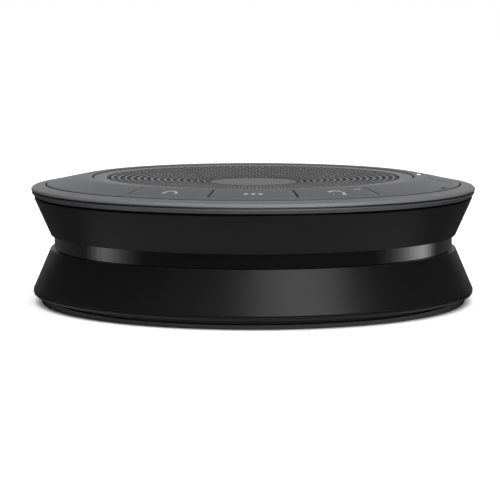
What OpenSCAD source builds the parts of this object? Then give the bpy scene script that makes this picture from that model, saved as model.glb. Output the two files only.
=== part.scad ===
// Round desktop conference speakerphone.
// Origin: centre of the bottom face of the foot ring. +Z is up and the front keys face -Y.
// Bearings are in degrees from the front (-Y), turning towards the right (+X).

/* [Body] */
// Largest diameter, across the top ring
body_d = 120; // [118:0.5:122]
// Height of the crown of the control panel above the table
crown_h = 33.9; // [33.5:0.05:34.5]
// Wall thickness of both shells
wall = 1.8; // [1.2:0.1:2.2]
// Slope of the upper and lower cones, radius gained per millimetre of height
cone_slope = 0.43; // [0.4:0.01:0.46]
// Radius of the waist band between the two cones
waist_r = 53.9; // [53:0.1:54.2]

/* [Control panel] */
// Radius of the crown of the panel
crown_r = 46; // [45.5:0.1:47]
// Inner radius of the panel, next to the grille
panel_in_r = 43.7; // [43.6:0.05:44]
// Outer radius of the panel, next to the top ring
panel_out_r = 55.75; // [55.4:0.05:55.9]
// Thickness of the panel
panel_t = 1.3; // [1:0.05:1.35]

/* [Keys] */
// Angle that each key covers
key_angle = 24; // [22:0.5:25]
// Angle of the slot between two keys
slot_angle = 0.62; // [0.4:0.02:1]
// Inner radius of the front and rear keys
key_in_r = 47.1; // [46:0.1:47.3]
// Outer radius of the keys
key_out_r = 53.8; // [52.5:0.1:53.8]
// How far a key travels when it is pressed
key_travel = 0.4; // [0.2:0.05:0.4]

/* [Grille] */
// Outer radius of the grille
grille_r = 43.2; // [43:0.05:43.3]
// Radius of the flat, solid disc in the middle of the grille
grille_flat_r = 11.5; // [10:0.5:13]
// Height of that disc above the table
grille_flat_h = 32.1; // [31.9:0.05:32.3]
// Radius where the dished, perforated field ends
field_r = 39.1; // [38.5:0.1:39.5]
// Thickness of the grille
grille_t = 0.9; // [0.7:0.05:1]

/* [Loudspeaker] */
// Outer radius of the loudspeaker frame
speaker_r = 30.4; // [30:0.1:30.6]
// Radius of the voice coil
coil_r = 9.75; // [9.7:0.01:9.8]

/* [Hidden] */
$fn = 96;

eps = 0.01;                        // overlap that joins solids of one piece
rim_r = body_d / 2;

// Heights of the layers, from the table up
foot_h = 1.1;
base_top = 3.1;
shell_bottom = 2.35;               // underside of the lower shell's beaded rim
lower_flange = 14.0;
waist_low = 15.6;
waist_high = 17.5;
lip_low = 14.55;                   // lower edge of the waist band's lips
lip_high = 18.35;                  // upper edge of the lips
lip_in_r = 53;
rim_low = 3.55;                    // lower edge of the lower cone, over the bead
foot_r = 57.4;
foot_rise = 1.455;                 // slope of the foot's lip, in degrees, rising to the rear
lip_h = 2.3;                       // height of the lip at the sides
upper_flange = 19.1;
groove_low = 28.3;
groove_high = 28.8;
band_top = 30.0;
ring_low = 30.45;

// Deck of the chassis, the key board on it and the sealed speaker tub below it
deck_low = 25.6;
deck_top = 27.2;
deck_r = 55.2;
tub_r = 36;
tub_t = 1.5;
tub_low = 12.6;
key_board_t = 1.2;
switch_top = 29.9;

// Main board and battery
board_low = 8.4;
board_t = 1.6;
board_top = board_low + board_t;
board_r = 43.5;

// Ring of flanges that clamps the two shells together
flange_in = 37;

// Screws
shank_r = 1.0;
pilot_r = 1.02;
clear_r = 1.25;
head_r = 1.9;
boss_r = 2.6;
chassis_screw_r = 40;
shell_screw_r = 47;
board_screw_r = 40.5;
base_screw_r = 48.5;
speaker_screw_r = 28.7;
quarter_turns = [0, 90, 180, 270];
chassis_bearings = [for (q = quarter_turns) q + 45];
shell_bearings = [for (q = quarter_turns) q + 20];
board_bearings = [for (q = quarter_turns) q + 65];
base_bearings = [for (q = quarter_turns) q + 45];
speaker_bearings = [for (q = quarter_turns) q + 45];

// Keys: bearing of each key's middle
call_at = -24;
menu_at = 0;
end_at = 24;
power_at = 91.5;
volume_down_at = 156;
mute_at = 180;
volume_up_at = 204;
key_bearings = [call_at, menu_at, end_at, power_at, volume_down_at, mute_at, volume_up_at];
power_in_r = 47.3;
stem_r = 50;
lip = 0.5;                         // how far a key's lip reaches under the panel
key_gap = 0.12;                    // gap round a key's inner and outer edges
lip_t = 0.55;

mic_bearings = [65.4, 245.4];
mic_slot_r = 54.65;                 // the sound slots run along the panel's edge
mic_slot_w = 0.7;
mic_slot_l = 3.6;
led_at = 92;
led_r = 45.1;
ribbon_at = 265;
ribbon_r = 44.8;
ribbon_t = 0.2;
ribbon_w = 8;

usb_h = 11.6;                      // height of the middle of the charging socket
usb_w = 8.94;
usb_t = 3.2;

graphite = "#6a6b6e";
satin_black = "#1d1d1f";
steel = "#a9abae";
circuit_green = "#1c4a35";

// ---------- helpers ----------

// Height of the convex panel's upper face at radius r
function panel_h(r) =
    crown_h - 0.16 * pow(max(r - crown_r, 0), 1.1) - 0.03 * pow(max(crown_r - r, 0), 2);
// Height of the dished grille's upper face at radius r
function grille_h(r) =
    r <= grille_flat_r ? grille_flat_h
    : r <= field_r ? grille_flat_h + 1.3 * (r - grille_flat_r) / (field_r - grille_flat_r)
    : grille_flat_h + 1.3 + 0.2 * (r - field_r) / (grille_r - field_r);
// Outer radius of the upper and lower cones at height h
function upper_cone_r(h) = waist_r + 0.95 + (cone_slope + 0.012) * (h - lip_high);
function lower_cone_r(h) = waist_r + 1.0 + cone_slope * (lip_low - h);
// Evenly spaced numbers from a to b
function steps(a, b, n) = [for (i = [0:n]) a + (b - a) * i / n];
// Points of an arc about [x, y]
function arc(x, y, r, a0, a1, n) = [for (a = steps(a0, a1, n)) [x + r * cos(a), y + r * sin(a)]];

// Turn so that +X points outwards along a bearing
module at(bearing) rotate([0, 0, bearing - 90]) children();
// A ring with a rectangular section
module ring(r0, r1, z0, z1)
    rotate_extrude() translate([r0, z0]) square([r1 - r0, z1 - z0]);
// A round post
module post(r, z0, z1)
    translate([0, 0, z0]) cylinder(r = r, h = z1 - z0);
// A block that stands on z0 with its middle at x, y
module block(x, y, z0, size)
    translate([x - size[0] / 2, y - size[1] / 2, z0]) cube(size);
// Children at a radius on each of a list of bearings
module each_at(bearings, r)
    for (b = bearings) at(b) translate([r, 0, 0]) children();

// A pan-head screw with a cross recess; the head's seat is at z = 0 and the shank points down
module screw(length, head = head_r, head_t = 1.0) {
    difference() {
        union() {
            rotate_extrude()
                polygon([[0, 0], [head, 0], [head, head_t * 0.45], [head * 0.72, head_t], [0, head_t]]);
            translate([0, 0, -length]) cylinder(r = shank_r, h = length + eps);
        }
        for (turn = [0, 90])
            rotate([0, 0, turn]) block(0, 0, head_t * 0.35, [head * 1.1, head * 0.28, head_t]);
    }
}

// ---------- top side ----------

// Graphite ring round the control panel, with the ledge that carries the panel
module top_ring() {
    edge_r = 0.8;
    shoulder = [rim_r - edge_r, ring_low + 0.03];
    color(graphite) rotate_extrude() polygon(concat(
        [[panel_out_r + 0.3, 31.85], [57.6, 31.6], [58.8, 31.35]],
        arc(shoulder[0], shoulder[1], edge_r, 75, 0, 8),
        [[rim_r - 0.05, ring_low], [57.1, ring_low], [57.1, 29.2], [54.4, 29.2], [54.4, 30.6],
         [panel_out_r + 0.3, 30.6]]
    ));
}

// Darker band under the ring; its step leaves the shadow groove between the two
module side_band() {
    color("#515255") rotate_extrude() polygon([
        [57.2, groove_high], [59.2, groove_high], [rim_r - 0.15, band_top - 0.35],
        [rim_r - 0.25, band_top], [58.8, band_top], [58.8, ring_low], [57.2, ring_low]
    ]);
}

// Sector of the panel's thickness, from radius r0 to r1 and between two bearings
module panel_window(r0, r1, b0, b1)
    at(b0) rotate_extrude(angle = b1 - b0)
        translate([r0, 28]) square([r1 - r0, 8]);

// Convex annulus with the key windows, the sound slots of the microphones and the lamp hole
module control_panel() {
    top = steps(panel_in_r, panel_out_r, 12);
    under = steps(54.5, panel_in_r + 0.7, 8);
    half = key_angle / 2 + slot_angle / 2;
    color(graphite) difference() {
        rotate_extrude() polygon(concat(
            [for (r = top) [r, panel_h(r)]],
            [[panel_out_r, 30.6], [54.5, 30.6]],
            [for (r = under) [r, panel_h(r) - panel_t]],
            [[panel_in_r + 0.7, deck_top], [panel_in_r, deck_top]]
        ));
        panel_window(key_in_r, key_out_r, call_at - half, end_at + half);
        panel_window(key_in_r, key_out_r, volume_down_at - half, volume_up_at + half);
        panel_window(power_in_r, key_out_r, power_at - half, power_at + half);
        each_at(mic_bearings, mic_slot_r) block(0, 0, 29, [mic_slot_w, mic_slot_l, 5]);
        each_at([led_at], led_r) post(0.52, 29, 36);
    }
}

// Dished disc with a rim that stands on the chassis deck; its field is perforated all over
module grille() {
    radii = concat([0, grille_flat_r], [field_r, grille_r]);
    color(graphite) rotate_extrude() polygon(concat(
        [for (r = radii) [r, grille_h(r)]],
        [[grille_r, deck_top], [grille_r - 0.9, deck_top], [grille_r - 0.9, grille_h(field_r) - grille_t]],
        [[field_r, grille_h(field_r) - grille_t], [grille_flat_r, grille_flat_h - grille_t],
         [0, grille_flat_h - grille_t]]
    ));
}

// Acoustic cloth glued under the perforations
module grille_cloth() {
    cloth_t = 0.25;
    radii = [0, grille_flat_r, field_r, field_r + 1.8];
    function under(r) = min(grille_h(r), grille_h(field_r)) - grille_t;
    color("#111113") rotate_extrude() polygon(concat(
        [for (r = radii) [r, under(r)]],
        [for (i = [len(radii) - 1:-1:0]) [radii[i], under(radii[i]) - cloth_t]]
    ));
}

// One key: a cap flush with the panel, a lip under the panel's edge and a stem over its switch
module key(bearing, r0) {
    half = (key_angle - slot_angle) / 2;
    cap = steps(r0 + key_gap, key_out_r - key_gap, 8);
    lips = steps(key_out_r + lip, r0 - lip, 8);
    lip_top = panel_t + 0.05;
    color("#606165") union() {
        at(bearing - half) rotate_extrude(angle = 2 * half) polygon(concat(
            [for (r = cap) [r, panel_h(r)]],
            [[cap[8], panel_h(cap[8]) - lip_top], [lips[0], panel_h(lips[0]) - lip_top]],
            [for (r = lips) [r, panel_h(r) - lip_top - lip_t]],
            [[lips[8], panel_h(lips[8]) - lip_top], [cap[0], panel_h(cap[0]) - lip_top]]
        ));
        each_at([bearing], stem_r)
            post(1.2, switch_top + key_travel + 0.05, panel_h(stem_r) - panel_t);
    }
}
module key_call() key(call_at, key_in_r);
module key_menu() key(menu_at, key_in_r);
module key_end() key(end_at, key_in_r);
module key_power() key(power_at, power_in_r);
module key_volume_down() key(volume_down_at, key_in_r);
module key_mute() key(mute_at, key_in_r);
module key_volume_up() key(volume_up_at, key_in_r);

// Clear pin that carries the lamp's light up through the panel
module light_guide() {
    color("white") each_at([led_at], led_r) post(0.5, 29.6, panel_h(led_r) + 0.05);
}

module status_led() {
    color("#f4f4e8") each_at([led_at], led_r) block(0.4, 0, deck_top + key_board_t, [1.6, 0.8, 0.7]);
}

// One tactile switch under each key
module key_switches() {
    base = deck_top + key_board_t;
    for (b = key_bearings) {
        color("#2a2a2c") each_at([b], stem_r) union() {
            block(0, 0, base, [4.2, 4.2, 0.9]);
            post(1.2, base + 0.8, switch_top);
        }
    }
}

// Annular circuit board on the deck
module key_board() {
    color(circuit_green) difference() {
        ring(panel_in_r + 0.9, 52.6, deck_top, deck_top + key_board_t);
        each_at([ribbon_at], ribbon_r) block(0, 0, deck_top - 1, [1.6, ribbon_w + 1, 4]);
    }
}

// Rubber boots that hold the microphones and seal them to their slots
module mic_boots() {
    base = deck_top + key_board_t;
    color("#2b2b2d") each_at(mic_bearings, 51.9) difference() {
        block(0, 0, base, [4.6, 5.4, 2.4]);
        post(1.95, base - 1, base + 1.7);
        block(1.6, 0, base + 1.2, [2.6, 1.2, 3]);
    }
}
module mic_capsules() {
    base = deck_top + key_board_t;
    color(steel) each_at(mic_bearings, 51.9) post(1.9, base, base + 1.4);
}

// ---------- chassis and loudspeaker ----------

// Deck with the sealed speaker tub moulded under it
module chassis() {
    color("#232325") difference() {
        union() {
            rotate_extrude() polygon([
                [0, tub_low], [tub_r, tub_low], [tub_r, deck_low], [deck_r, deck_low], [deck_r, deck_top],
                [25.4, deck_top], [25.4, deck_low], [tub_r - tub_t, deck_low],
                [tub_r - tub_t, tub_low + tub_t], [0, tub_low + tub_t]
            ]);
            each_at(speaker_bearings, speaker_screw_r) post(boss_r, 20.5, deck_low + eps);
        }
        each_at(speaker_bearings, speaker_screw_r) post(pilot_r, 21.5, deck_top + 1);
        each_at(chassis_bearings, chassis_screw_r) post(clear_r, deck_low - 1, deck_top + 1);
        each_at([30], 26) post(2.2, tub_low - 1, tub_low + tub_t + 1);
        each_at([ribbon_at], ribbon_r) block(0, 0, deck_low - 1, [1.6, ribbon_w + 1, 4]);
    }
}
module chassis_screws() {
    color(steel) each_at(chassis_bearings, chassis_screw_r) translate([0, 0, deck_top]) screw(6.5);
}

// Pressed steel basket with four windows in its cone
module speaker_frame() {
    color("#3b3c3f") difference() {
        rotate_extrude() polygon([
            [10.9, 21.4], [21.7, 21.4], [25.0, deck_top], [speaker_r, deck_top],
            [speaker_r, 28.0], [24.4, 28.0], [21.1, 22.2], [10.9, 22.2]
        ]);
        for (q = quarter_turns) at(q - 25) rotate_extrude(angle = 50)
            polygon([[20.5, 22.9], [26, 22.9], [27, 26.4], [20.5, 26.4]]);
        each_at(speaker_bearings, speaker_screw_r) post(clear_r, deck_top - 1, 29);
    }
}
module speaker_screws() {
    color(steel) each_at(speaker_bearings, speaker_screw_r)
        translate([0, 0, 28.0]) screw(6.0, head = 1.6, head_t = 0.9);
}
module speaker_gasket() {
    color("#18181a") ring(25.3, 26.9, 28.4, 29.2);
}

// Rubber half roll between the cone and the frame
module surround() {
    roll_x = 23.25;
    color("#1a1a1c") rotate_extrude() polygon(concat(
        [[21.1, 28.0], [21.1, 28.35]],
        arc(roll_x, 28.0, 1.8, 168, 12, 10),
        [[26.9, 28.4], [26.9, 28.0]],
        arc(roll_x, 28.0, 1.4, 0, 180, 10)
    ));
}
module cone() {
    color("#2a2a2d") rotate_extrude()
        polygon([[10.35, 23.9], [21.7, 27.55], [21.7, 27.95], [10.35, 24.4]]);
}
module dust_cap() {
    dome_r = 26.4;
    rise = 2.4;
    rim = asin(11 / dome_r);
    color("#26262a") translate([0, 0, 24.94 + rise - dome_r]) rotate_extrude() polygon(concat(
        arc(0, 0, dome_r, 90, 90 - rim, 8),
        arc(0, 0, dome_r - 0.35, 90 - rim, 90, 8)
    ));
}
module voice_coil() {
    color("#b06a3a") ring(coil_r, coil_r + 0.55, 19.0, 24.4);
}
// Corrugated cloth disc that centres the coil
module spider() {
    radii = steps(coil_r + 0.6, 19.6, 36);
    function wave(r) = 23.25 + 0.22 * sin((r - 11) * 180);
    color("#c9a04a") rotate_extrude() polygon(concat(
        [for (r = radii) [r, wave(r) + 0.12]],
        [[20.9, 23.3], [20.9, 22.2], [19.6, 22.2]],
        [for (i = [36:-1:0]) [radii[i], wave(radii[i]) - 0.12]]
    ));
}
module top_plate() {
    color(steel) ring(10.75, 17, 19.6, 21.4);
}
module magnet() {
    color("#38383a") ring(12, 19, 16.0, 19.6);
}
module yoke() {
    color(steel) rotate_extrude()
        polygon([[0, 14.5], [17, 14.5], [17, 16.0], [9.25, 16.0], [9.25, 21.4], [0, 21.4]]);
}

// Grommet and the two wires that leave the tub for the amplifier
module wire_grommet() {
    color("#2e2e30") each_at([30], 26) difference() {
        union() {
            post(2.15, tub_low, tub_low + tub_t);
            post(3.0, tub_low + tub_t, tub_low + tub_t + 0.8);
        }
        for (y = [-0.75, 0.75]) translate([0, y, 0]) post(0.55, tub_low - 1, tub_low + 4);
    }
}
module speaker_wires() {
    for (i = [0, 1]) {
        color(i == 0 ? "#a02020" : "#151515") each_at([30], 26) translate([0, 1.5 * i - 0.75, 0]) union() {
            post(0.5, board_top + 2.0, 22.0);
            translate([0.1, 0, 22.0]) rotate([0, -90, 0]) cylinder(r = 0.5, h = 3.2);
        }
    }
}

// ---------- shells ----------

// Opening for the key board's ribbon through a flange
module ribbon_slot(z0, z1)
    each_at([ribbon_at], ribbon_r) block(0, 0, z0, [1.6, ribbon_w + 1, z1 - z0]);

module upper_shell() {
    seat = groove_high - 1.1;
    color(satin_black) difference() {
        union() {
            rotate_extrude() polygon([
                [flange_in, waist_high], [lip_in_r, waist_high], [lip_in_r, lip_high],
                [upper_cone_r(lip_high), lip_high], [upper_cone_r(groove_low), groove_low],
                [58.2, groove_low], [58.2, groove_high], [56.9, groove_high], [56.9, seat],
                [upper_cone_r(20.3) - wall, 20.3], [52, upper_flange], [flange_in, upper_flange]
            ]);
            each_at(chassis_bearings, chassis_screw_r) post(boss_r, upper_flange - eps, deck_low);
            each_at(shell_bearings, shell_screw_r) post(boss_r, upper_flange - eps, deck_low);
        }
        each_at(chassis_bearings, chassis_screw_r) post(pilot_r, 20.2, deck_low + 1);
        each_at(shell_bearings, shell_screw_r) post(pilot_r, waist_high - 1, 24.5);
        ribbon_slot(waist_high - 1, upper_flange + 1);
    }
}

// Glossy ring clamped between the flanges
module waist_band() {
    color("#101012") difference() {
        // glossy band with an upright lip that covers the edge of each shell's flange
        rotate_extrude() polygon([
            [44, waist_low], [lip_in_r, waist_low], [lip_in_r, lip_low], [waist_r, lip_low],
            [waist_r, lip_high], [lip_in_r, lip_high], [lip_in_r, waist_high], [44, waist_high]
        ]);
        each_at(shell_bearings, shell_screw_r) post(clear_r, waist_low - 1, waist_high + 1);
        ribbon_slot(waist_low - 1, waist_high + 1);
    }
}
module shell_screws() {
    color(steel) each_at(shell_bearings, shell_screw_r)
        translate([0, 0, lower_flange]) rotate([180, 0, 0]) screw(9.5);
}

module lower_shell() {
    rim_r = lower_cone_r(rim_low);
    color(satin_black) difference() {
        union() {
            rotate_extrude() polygon([
                [flange_in, lower_flange], [flange_in, waist_low], [lip_in_r, waist_low],
                [lip_in_r, lip_low], [lower_cone_r(lip_low), lip_low], [rim_r, rim_low],
                [rim_r - 0.33, rim_low - 0.05], [rim_r - 0.33, rim_low - 0.25],
                [rim_r - 0.03, rim_low - 0.3], [rim_r - 0.03, 2.85], [rim_r - 0.2, 2.5],
                [rim_r - 0.5, shell_bottom], [56.6, shell_bottom], [56.6, base_top], [55.0, base_top],
                [55.0, 4.6], [lower_cone_r(5.8) - wall, 5.8], [lower_cone_r(12.8) - wall, 12.8],
                [52, lower_flange]
            ]);
            each_at(base_bearings, base_screw_r) post(boss_r, base_top, lower_flange + eps);
            each_at(board_bearings, board_screw_r) post(2.2, board_top, lower_flange + eps);
        }
        each_at(shell_bearings, shell_screw_r) post(clear_r, lower_flange - 1, waist_low + 1);
        each_at(base_bearings, base_screw_r) post(pilot_r, base_top - 1, 10.2);
        each_at(board_bearings, board_screw_r) post(pilot_r, board_top - 1, 13.6);
        ribbon_slot(lower_flange - 1, waist_low + 1);
        // rounded mouth of the charging socket at the rear
        for (x = [-1, 1])
            translate([x * (usb_w - usb_t) / 2, 50, usb_h]) rotate([-90, 0, 0])
                cylinder(r = usb_t / 2 + 0.35, h = 12);
        block(0, 56, usb_h - usb_t / 2 - 0.35, [usb_w - usb_t, 12, usb_t + 0.7]);
    }
}

// ---------- electronics ----------

module main_board() {
    color(circuit_green) difference() {
        union() {
            post(board_r, board_low, board_top);
            block(0, 46, board_low, [14, 14, board_t]);
        }
        each_at(board_bearings, board_screw_r) post(clear_r, board_low - 1, board_top + 1);
    }
}
module board_screws() {
    color(steel) each_at(board_bearings, board_screw_r)
        translate([0, 0, board_low]) rotate([180, 0, 0]) screw(4.6, head = 1.8, head_t = 0.9);
}
module shield_can() {
    color("#c2c4c6") block(-8, -4, board_top, [20, 17, 1.9]);
}
// Amplifier, radio module, power chip, memory and the coil of the charger
module board_chips() {
    color("#202022") union() {
        block(12, -14, board_top, [7, 7, 1.0]);
        block(17, 8, board_top, [12, 10, 1.6]);
        block(-24, 8, board_top, [6, 6, 1.0]);
        block(-6, 20, board_top, [8, 5, 1.0]);
        block(6, 27, board_top, [5, 5, 2.0]);
    }
}
module board_connectors() {
    color("#e6e2d6") union() {
        each_at([30], 26) block(0, 0, board_top, [4, 5, 2.0]);
        each_at([ribbon_at], 39.5) block(0, 0, board_top, [3.2, ribbon_w + 1.5, 1.4]);
        block(31, 0, board_low - 2.2, [4, 6, 2.2]);
    }
}
// Charging and data socket on the rear edge of the board
module usb_socket() {
    mouth_y = 54.6;
    depth = 7.4;
    color("#c8c9cb") difference() {
        hull() for (x = [-1, 1])
            translate([x * (usb_w - usb_t) / 2, mouth_y - depth, usb_h]) rotate([-90, 0, 0])
                cylinder(r = usb_t / 2, h = depth, $fn = 32);
        hull() for (x = [-1, 1])
            translate([x * (usb_w - usb_t) / 2, mouth_y - depth + 1, usb_h]) rotate([-90, 0, 0])
                cylinder(r = usb_t / 2 - 0.3, h = depth, $fn = 32);
    }
    color("#202022") block(0, mouth_y - 3.6, usb_h - 0.35, [6.6, 5.6, 0.7]);
}
// Flat flexible cable from the key board to the main board
module key_ribbon() {
    top = deck_top + key_board_t;
    low = board_top + 0.5;
    color("#b8772e") at(ribbon_at) rotate([90, 0, 0]) translate([0, 0, -ribbon_w / 2])
        linear_extrude(ribbon_w) polygon([
            [ribbon_r, top + ribbon_t], [ribbon_r + 2.8, top + ribbon_t], [ribbon_r + 2.8, top],
            [ribbon_r + ribbon_t, top], [ribbon_r + ribbon_t, low], [41.1, low], [41.1, low + ribbon_t],
            [ribbon_r, low + ribbon_t]
        ]);
}
module battery() {
    color("#8d9296") union() {
        block(-2, 0, 3.5, [48, 34, 4.3]);
        block(22.6, 0, 5.0, [1.4, 30, 1.6]);
    }
}
module battery_pad() {
    color("#e8e8e0") block(-2, 0, base_top, [44, 30, 0.4]);
}
module battery_lead() {
    for (i = [0, 1])
        color(i == 0 ? "#a02020" : "#151515") translate([23.3, 2.4 * i - 1.2, 6.0 + 0.9])
            rotate([0, 90, 0]) cylinder(r = 0.55, h = 5.7);
}

// ---------- underside ----------

module base_plate() {
    color("#1f1f21") difference() {
        post(56.5, foot_h, base_top);
        each_at(base_bearings, base_screw_r) union() {
            post(clear_r, foot_h - 1, base_top + 1);
            post(2.3, foot_h - 1, foot_h + 1.0);
        }
        // shallow blank recess for a rating plate
        post(30, foot_h - 1, foot_h + 0.3);
    }
}
module base_screws() {
    color(steel) each_at(base_bearings, base_screw_r)
        translate([0, 0, foot_h + 1.0]) rotate([180, 0, 0]) screw(7.5, head_t = 0.9);
}
// Rubber ring that the speakerphone stands on
module foot_ring() {
    color("#2c2c2e") union() {
        rotate_extrude() polygon([
            [52.6, 0.2], [52.8, 0], [foot_r - 0.25, 0], [foot_r, 0.25], [foot_r, foot_h], [52.6, foot_h]
        ]);
        // lip that closes the gap under the shell at the sides and rear
        intersection() {
            ring(56.7, foot_r, foot_h - eps, shell_bottom);
            rotate([foot_rise, 0, 0]) block(0, 0, 0, [3 * foot_r, 3 * foot_r, lip_h]);
        }
    }
}

top_ring();
side_band();
control_panel();
grille();
grille_cloth();
key_call();
key_menu();
key_end();
key_power();
key_volume_down();
key_mute();
key_volume_up();
light_guide();
status_led();
key_switches();
key_board();
mic_boots();
mic_capsules();
chassis();
chassis_screws();
speaker_frame();
speaker_gasket();
surround();
cone();
dust_cap();
voice_coil();
spider();
top_plate();
magnet();
yoke();
speaker_screws();
wire_grommet();
speaker_wires();
upper_shell();
waist_band();
shell_screws();
lower_shell();
main_board();
board_screws();
shield_can();
board_chips();
board_connectors();
usb_socket();
key_ribbon();
battery();
battery_pad();
battery_lead();
base_plate();
base_screws();
foot_ring();
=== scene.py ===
"""Round desktop conference speakerphone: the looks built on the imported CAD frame.

Bearings are in degrees from the front (-Y), turning towards the right (+X). Outlines are in
millimetres and meshes in metres. Every outer skin is a finished piece that rides on the body of the
CAD node it stands for; the parts inside keep their CAD shape and get their own finish.
"""
import logging
import math
from dataclasses import dataclass, field
from enum import Enum
from functools import lru_cache
from typing import Callable, Iterable, Optional, Sequence

import bmesh
import bpy
from mathutils import Matrix, Vector


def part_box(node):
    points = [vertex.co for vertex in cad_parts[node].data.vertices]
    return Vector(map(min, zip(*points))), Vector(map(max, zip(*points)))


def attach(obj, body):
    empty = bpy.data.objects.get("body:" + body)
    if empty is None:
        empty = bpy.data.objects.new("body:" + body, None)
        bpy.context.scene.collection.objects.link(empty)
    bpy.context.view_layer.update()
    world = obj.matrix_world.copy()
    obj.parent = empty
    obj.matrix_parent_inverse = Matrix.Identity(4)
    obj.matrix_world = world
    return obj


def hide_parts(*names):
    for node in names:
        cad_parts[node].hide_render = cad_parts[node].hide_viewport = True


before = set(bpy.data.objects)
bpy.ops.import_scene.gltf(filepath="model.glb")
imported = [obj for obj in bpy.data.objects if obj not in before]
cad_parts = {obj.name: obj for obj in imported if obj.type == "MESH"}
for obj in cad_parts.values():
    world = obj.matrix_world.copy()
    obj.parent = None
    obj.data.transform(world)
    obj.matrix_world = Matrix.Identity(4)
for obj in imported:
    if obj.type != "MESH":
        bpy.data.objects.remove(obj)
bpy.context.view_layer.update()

LOG = logging.getLogger("speakerphone")
MM = 0.001
TURN = 256               # steps round a visible lathe piece
HOUSING = "housing"

Point = tuple[float, float]
Colour = tuple[float, float, float]
Sockets = tuple[bpy.types.NodeSocket, ...]


# ---------------------------------------------------------------- frame sizes

@lru_cache(maxsize=None)
def corners(node: str) -> tuple[Vector, Vector]:
    """Lowest and highest corners of a CAD node, in millimetres."""
    bottom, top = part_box(node)
    return bottom / MM, top / MM


def low(node: str) -> Vector:
    """Lowest corner of a CAD node, in millimetres."""
    return corners(node)[0]


def high(node: str) -> Vector:
    """Highest corner of a CAD node, in millimetres."""
    return corners(node)[1]


class Keys(Enum):
    """The push keys and the bearing of each one's middle."""

    CALL = ("key_call", -24.0)
    MENU = ("key_menu", 0.0)
    END = ("key_end", 24.0)
    POWER = ("key_power", 91.5)
    VOLUME_DOWN = ("key_volume_down", 156.0)
    MUTE = ("key_mute", 180.0)
    VOLUME_UP = ("key_volume_up", 204.0)

    @property
    def node(self) -> str:
        """Name of the key's CAD node, which is also its body."""
        return self.value[0]

    @property
    def bearing(self) -> float:
        """Bearing of the key's middle, in degrees."""
        return self.value[1]


# ---------------------------------------------------------------- mesh making

def arc(centre: Point, radius: float, start: float, end: float, steps: int) -> list[Point]:
    """Points of an arc.

    Args:
        centre: middle of the circle.
        radius: its radius.
        start: first angle, in degrees.
        end: last angle, in degrees.
        steps: number of chords.

    Returns:
        steps + 1 points from start to end.
    """
    angles = [math.radians(start + (end - start) * i / steps) for i in range(steps + 1)]
    return [(centre[0] + radius * math.cos(a), centre[1] + radius * math.sin(a)) for a in angles]


def fillet(bends: Sequence[tuple[float, float, float]], steps: int = 4) -> list[Point]:
    """Rounds the corners of a closed outline.

    Args:
        bends: (x, y, corner radius) in order; a radius of 0 leaves the corner sharp.
        steps: chords in each rounded corner.

    Returns:
        The points of the rounded outline.
    """
    points: list[Point] = []
    for i, (x, y, radius) in enumerate(bends):
        here = Vector((x, y))
        back = Vector(bends[i - 1][:2]) - here
        ahead = Vector(bends[(i + 1) % len(bends)][:2]) - here
        if radius <= 0:
            points.append((x, y))
            continue
        half = back.angle(ahead) / 2
        reach = min(radius / math.tan(half), 0.48 * min(back.length, ahead.length))
        true_radius = reach * math.tan(half)
        centre = here + (back.normalized() + ahead.normalized()).normalized() * true_radius / math.sin(half)
        first = here + back.normalized() * reach - centre
        sweep = first.angle_signed(here + ahead.normalized() * reach - centre)
        for k in range(steps + 1):
            turn = -sweep * k / steps
            spoke = Matrix.Rotation(turn, 2) @ first
            points.append((centre.x + spoke.x, centre.y + spoke.y))
    return points


def linked(name: str, data: bpy.types.ID) -> bpy.types.Object:
    """A new object of some data, in the scene."""
    thing = bpy.data.objects.new(name, data)
    bpy.context.scene.collection.objects.link(thing)
    return thing


def new_object(name: str, mesh: bpy.types.Mesh, sharp: float = 35.0) -> bpy.types.Object:
    """Links a mesh as an object at the origin, shaded smooth with sharp edges above an angle."""
    mesh.name = name
    mesh.shade_smooth()
    mesh.set_sharp_from_angle(angle=math.radians(sharp))
    return linked(name, mesh)


def mesh_of(verts: Sequence[Sequence[float]], faces: Sequence[Sequence[int]]) -> bpy.types.Mesh:
    """A mesh from points in millimetres and faces."""
    mesh = bpy.data.meshes.new("mesh")
    mesh.from_pydata([[c * MM for c in v] for v in verts], [], faces)
    mesh.validate()
    return mesh


def held(outline: Sequence[Point], longest: float = 0.8, margin: float = 0.04) -> list[Point]:
    """Adds a point close to each end of every long side, so that smooth shading keeps the side flat.

    Args:
        outline: the closed outline.
        longest: the longest side that is left as it is.
        margin: distance of the added points from the ends.

    Returns:
        The outline with the added points.
    """
    out: list[Point] = []
    for a, b in zip(outline, [*outline[1:], outline[0]]):
        out.append(a)
        length = math.hypot(b[0] - a[0], b[1] - a[1])
        if length > longest and min(a[0], b[0]) > 1e-9:
            for share in (margin / length, 1 - margin / length):
                out.append((a[0] + (b[0] - a[0]) * share, a[1] + (b[1] - a[1]) * share))
    return out


def lathe(outline: Sequence[Point], turn: int = TURN) -> bpy.types.Mesh:
    """Turns a closed outline of (radius, height) points about the Z axis.

    Args:
        outline: the closed outline, in either direction.
        turn: steps round the full circle.

    Returns:
        A closed mesh whose faces point outwards.
    """
    area = sum(a[0] * b[1] - b[0] * a[1] for a, b in zip(outline, [*outline[1:], outline[0]]))
    ring = held(outline if area > 0 else list(reversed(outline)))
    verts: list[tuple[float, float, float]] = []
    index: list[list[int]] = []
    for r, z in ring:
        steps = 1 if r < 1e-9 else turn
        first = len(verts)
        angles = [math.tau * j / turn for j in range(steps)]
        verts += [(r * math.cos(a), r * math.sin(a), z) for a in angles]
        index.append([first + (j if steps > 1 else 0) for j in range(turn)])
    faces = []
    for i, here in enumerate(index):
        there = index[(i + 1) % len(index)]
        for j in range(turn):
            k = (j + 1) % turn
            loop = list(dict.fromkeys([here[j], here[k], there[k], there[j]]))
            if len(loop) > 2:
                faces.append(loop)
    return mesh_of(verts, faces)


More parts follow.
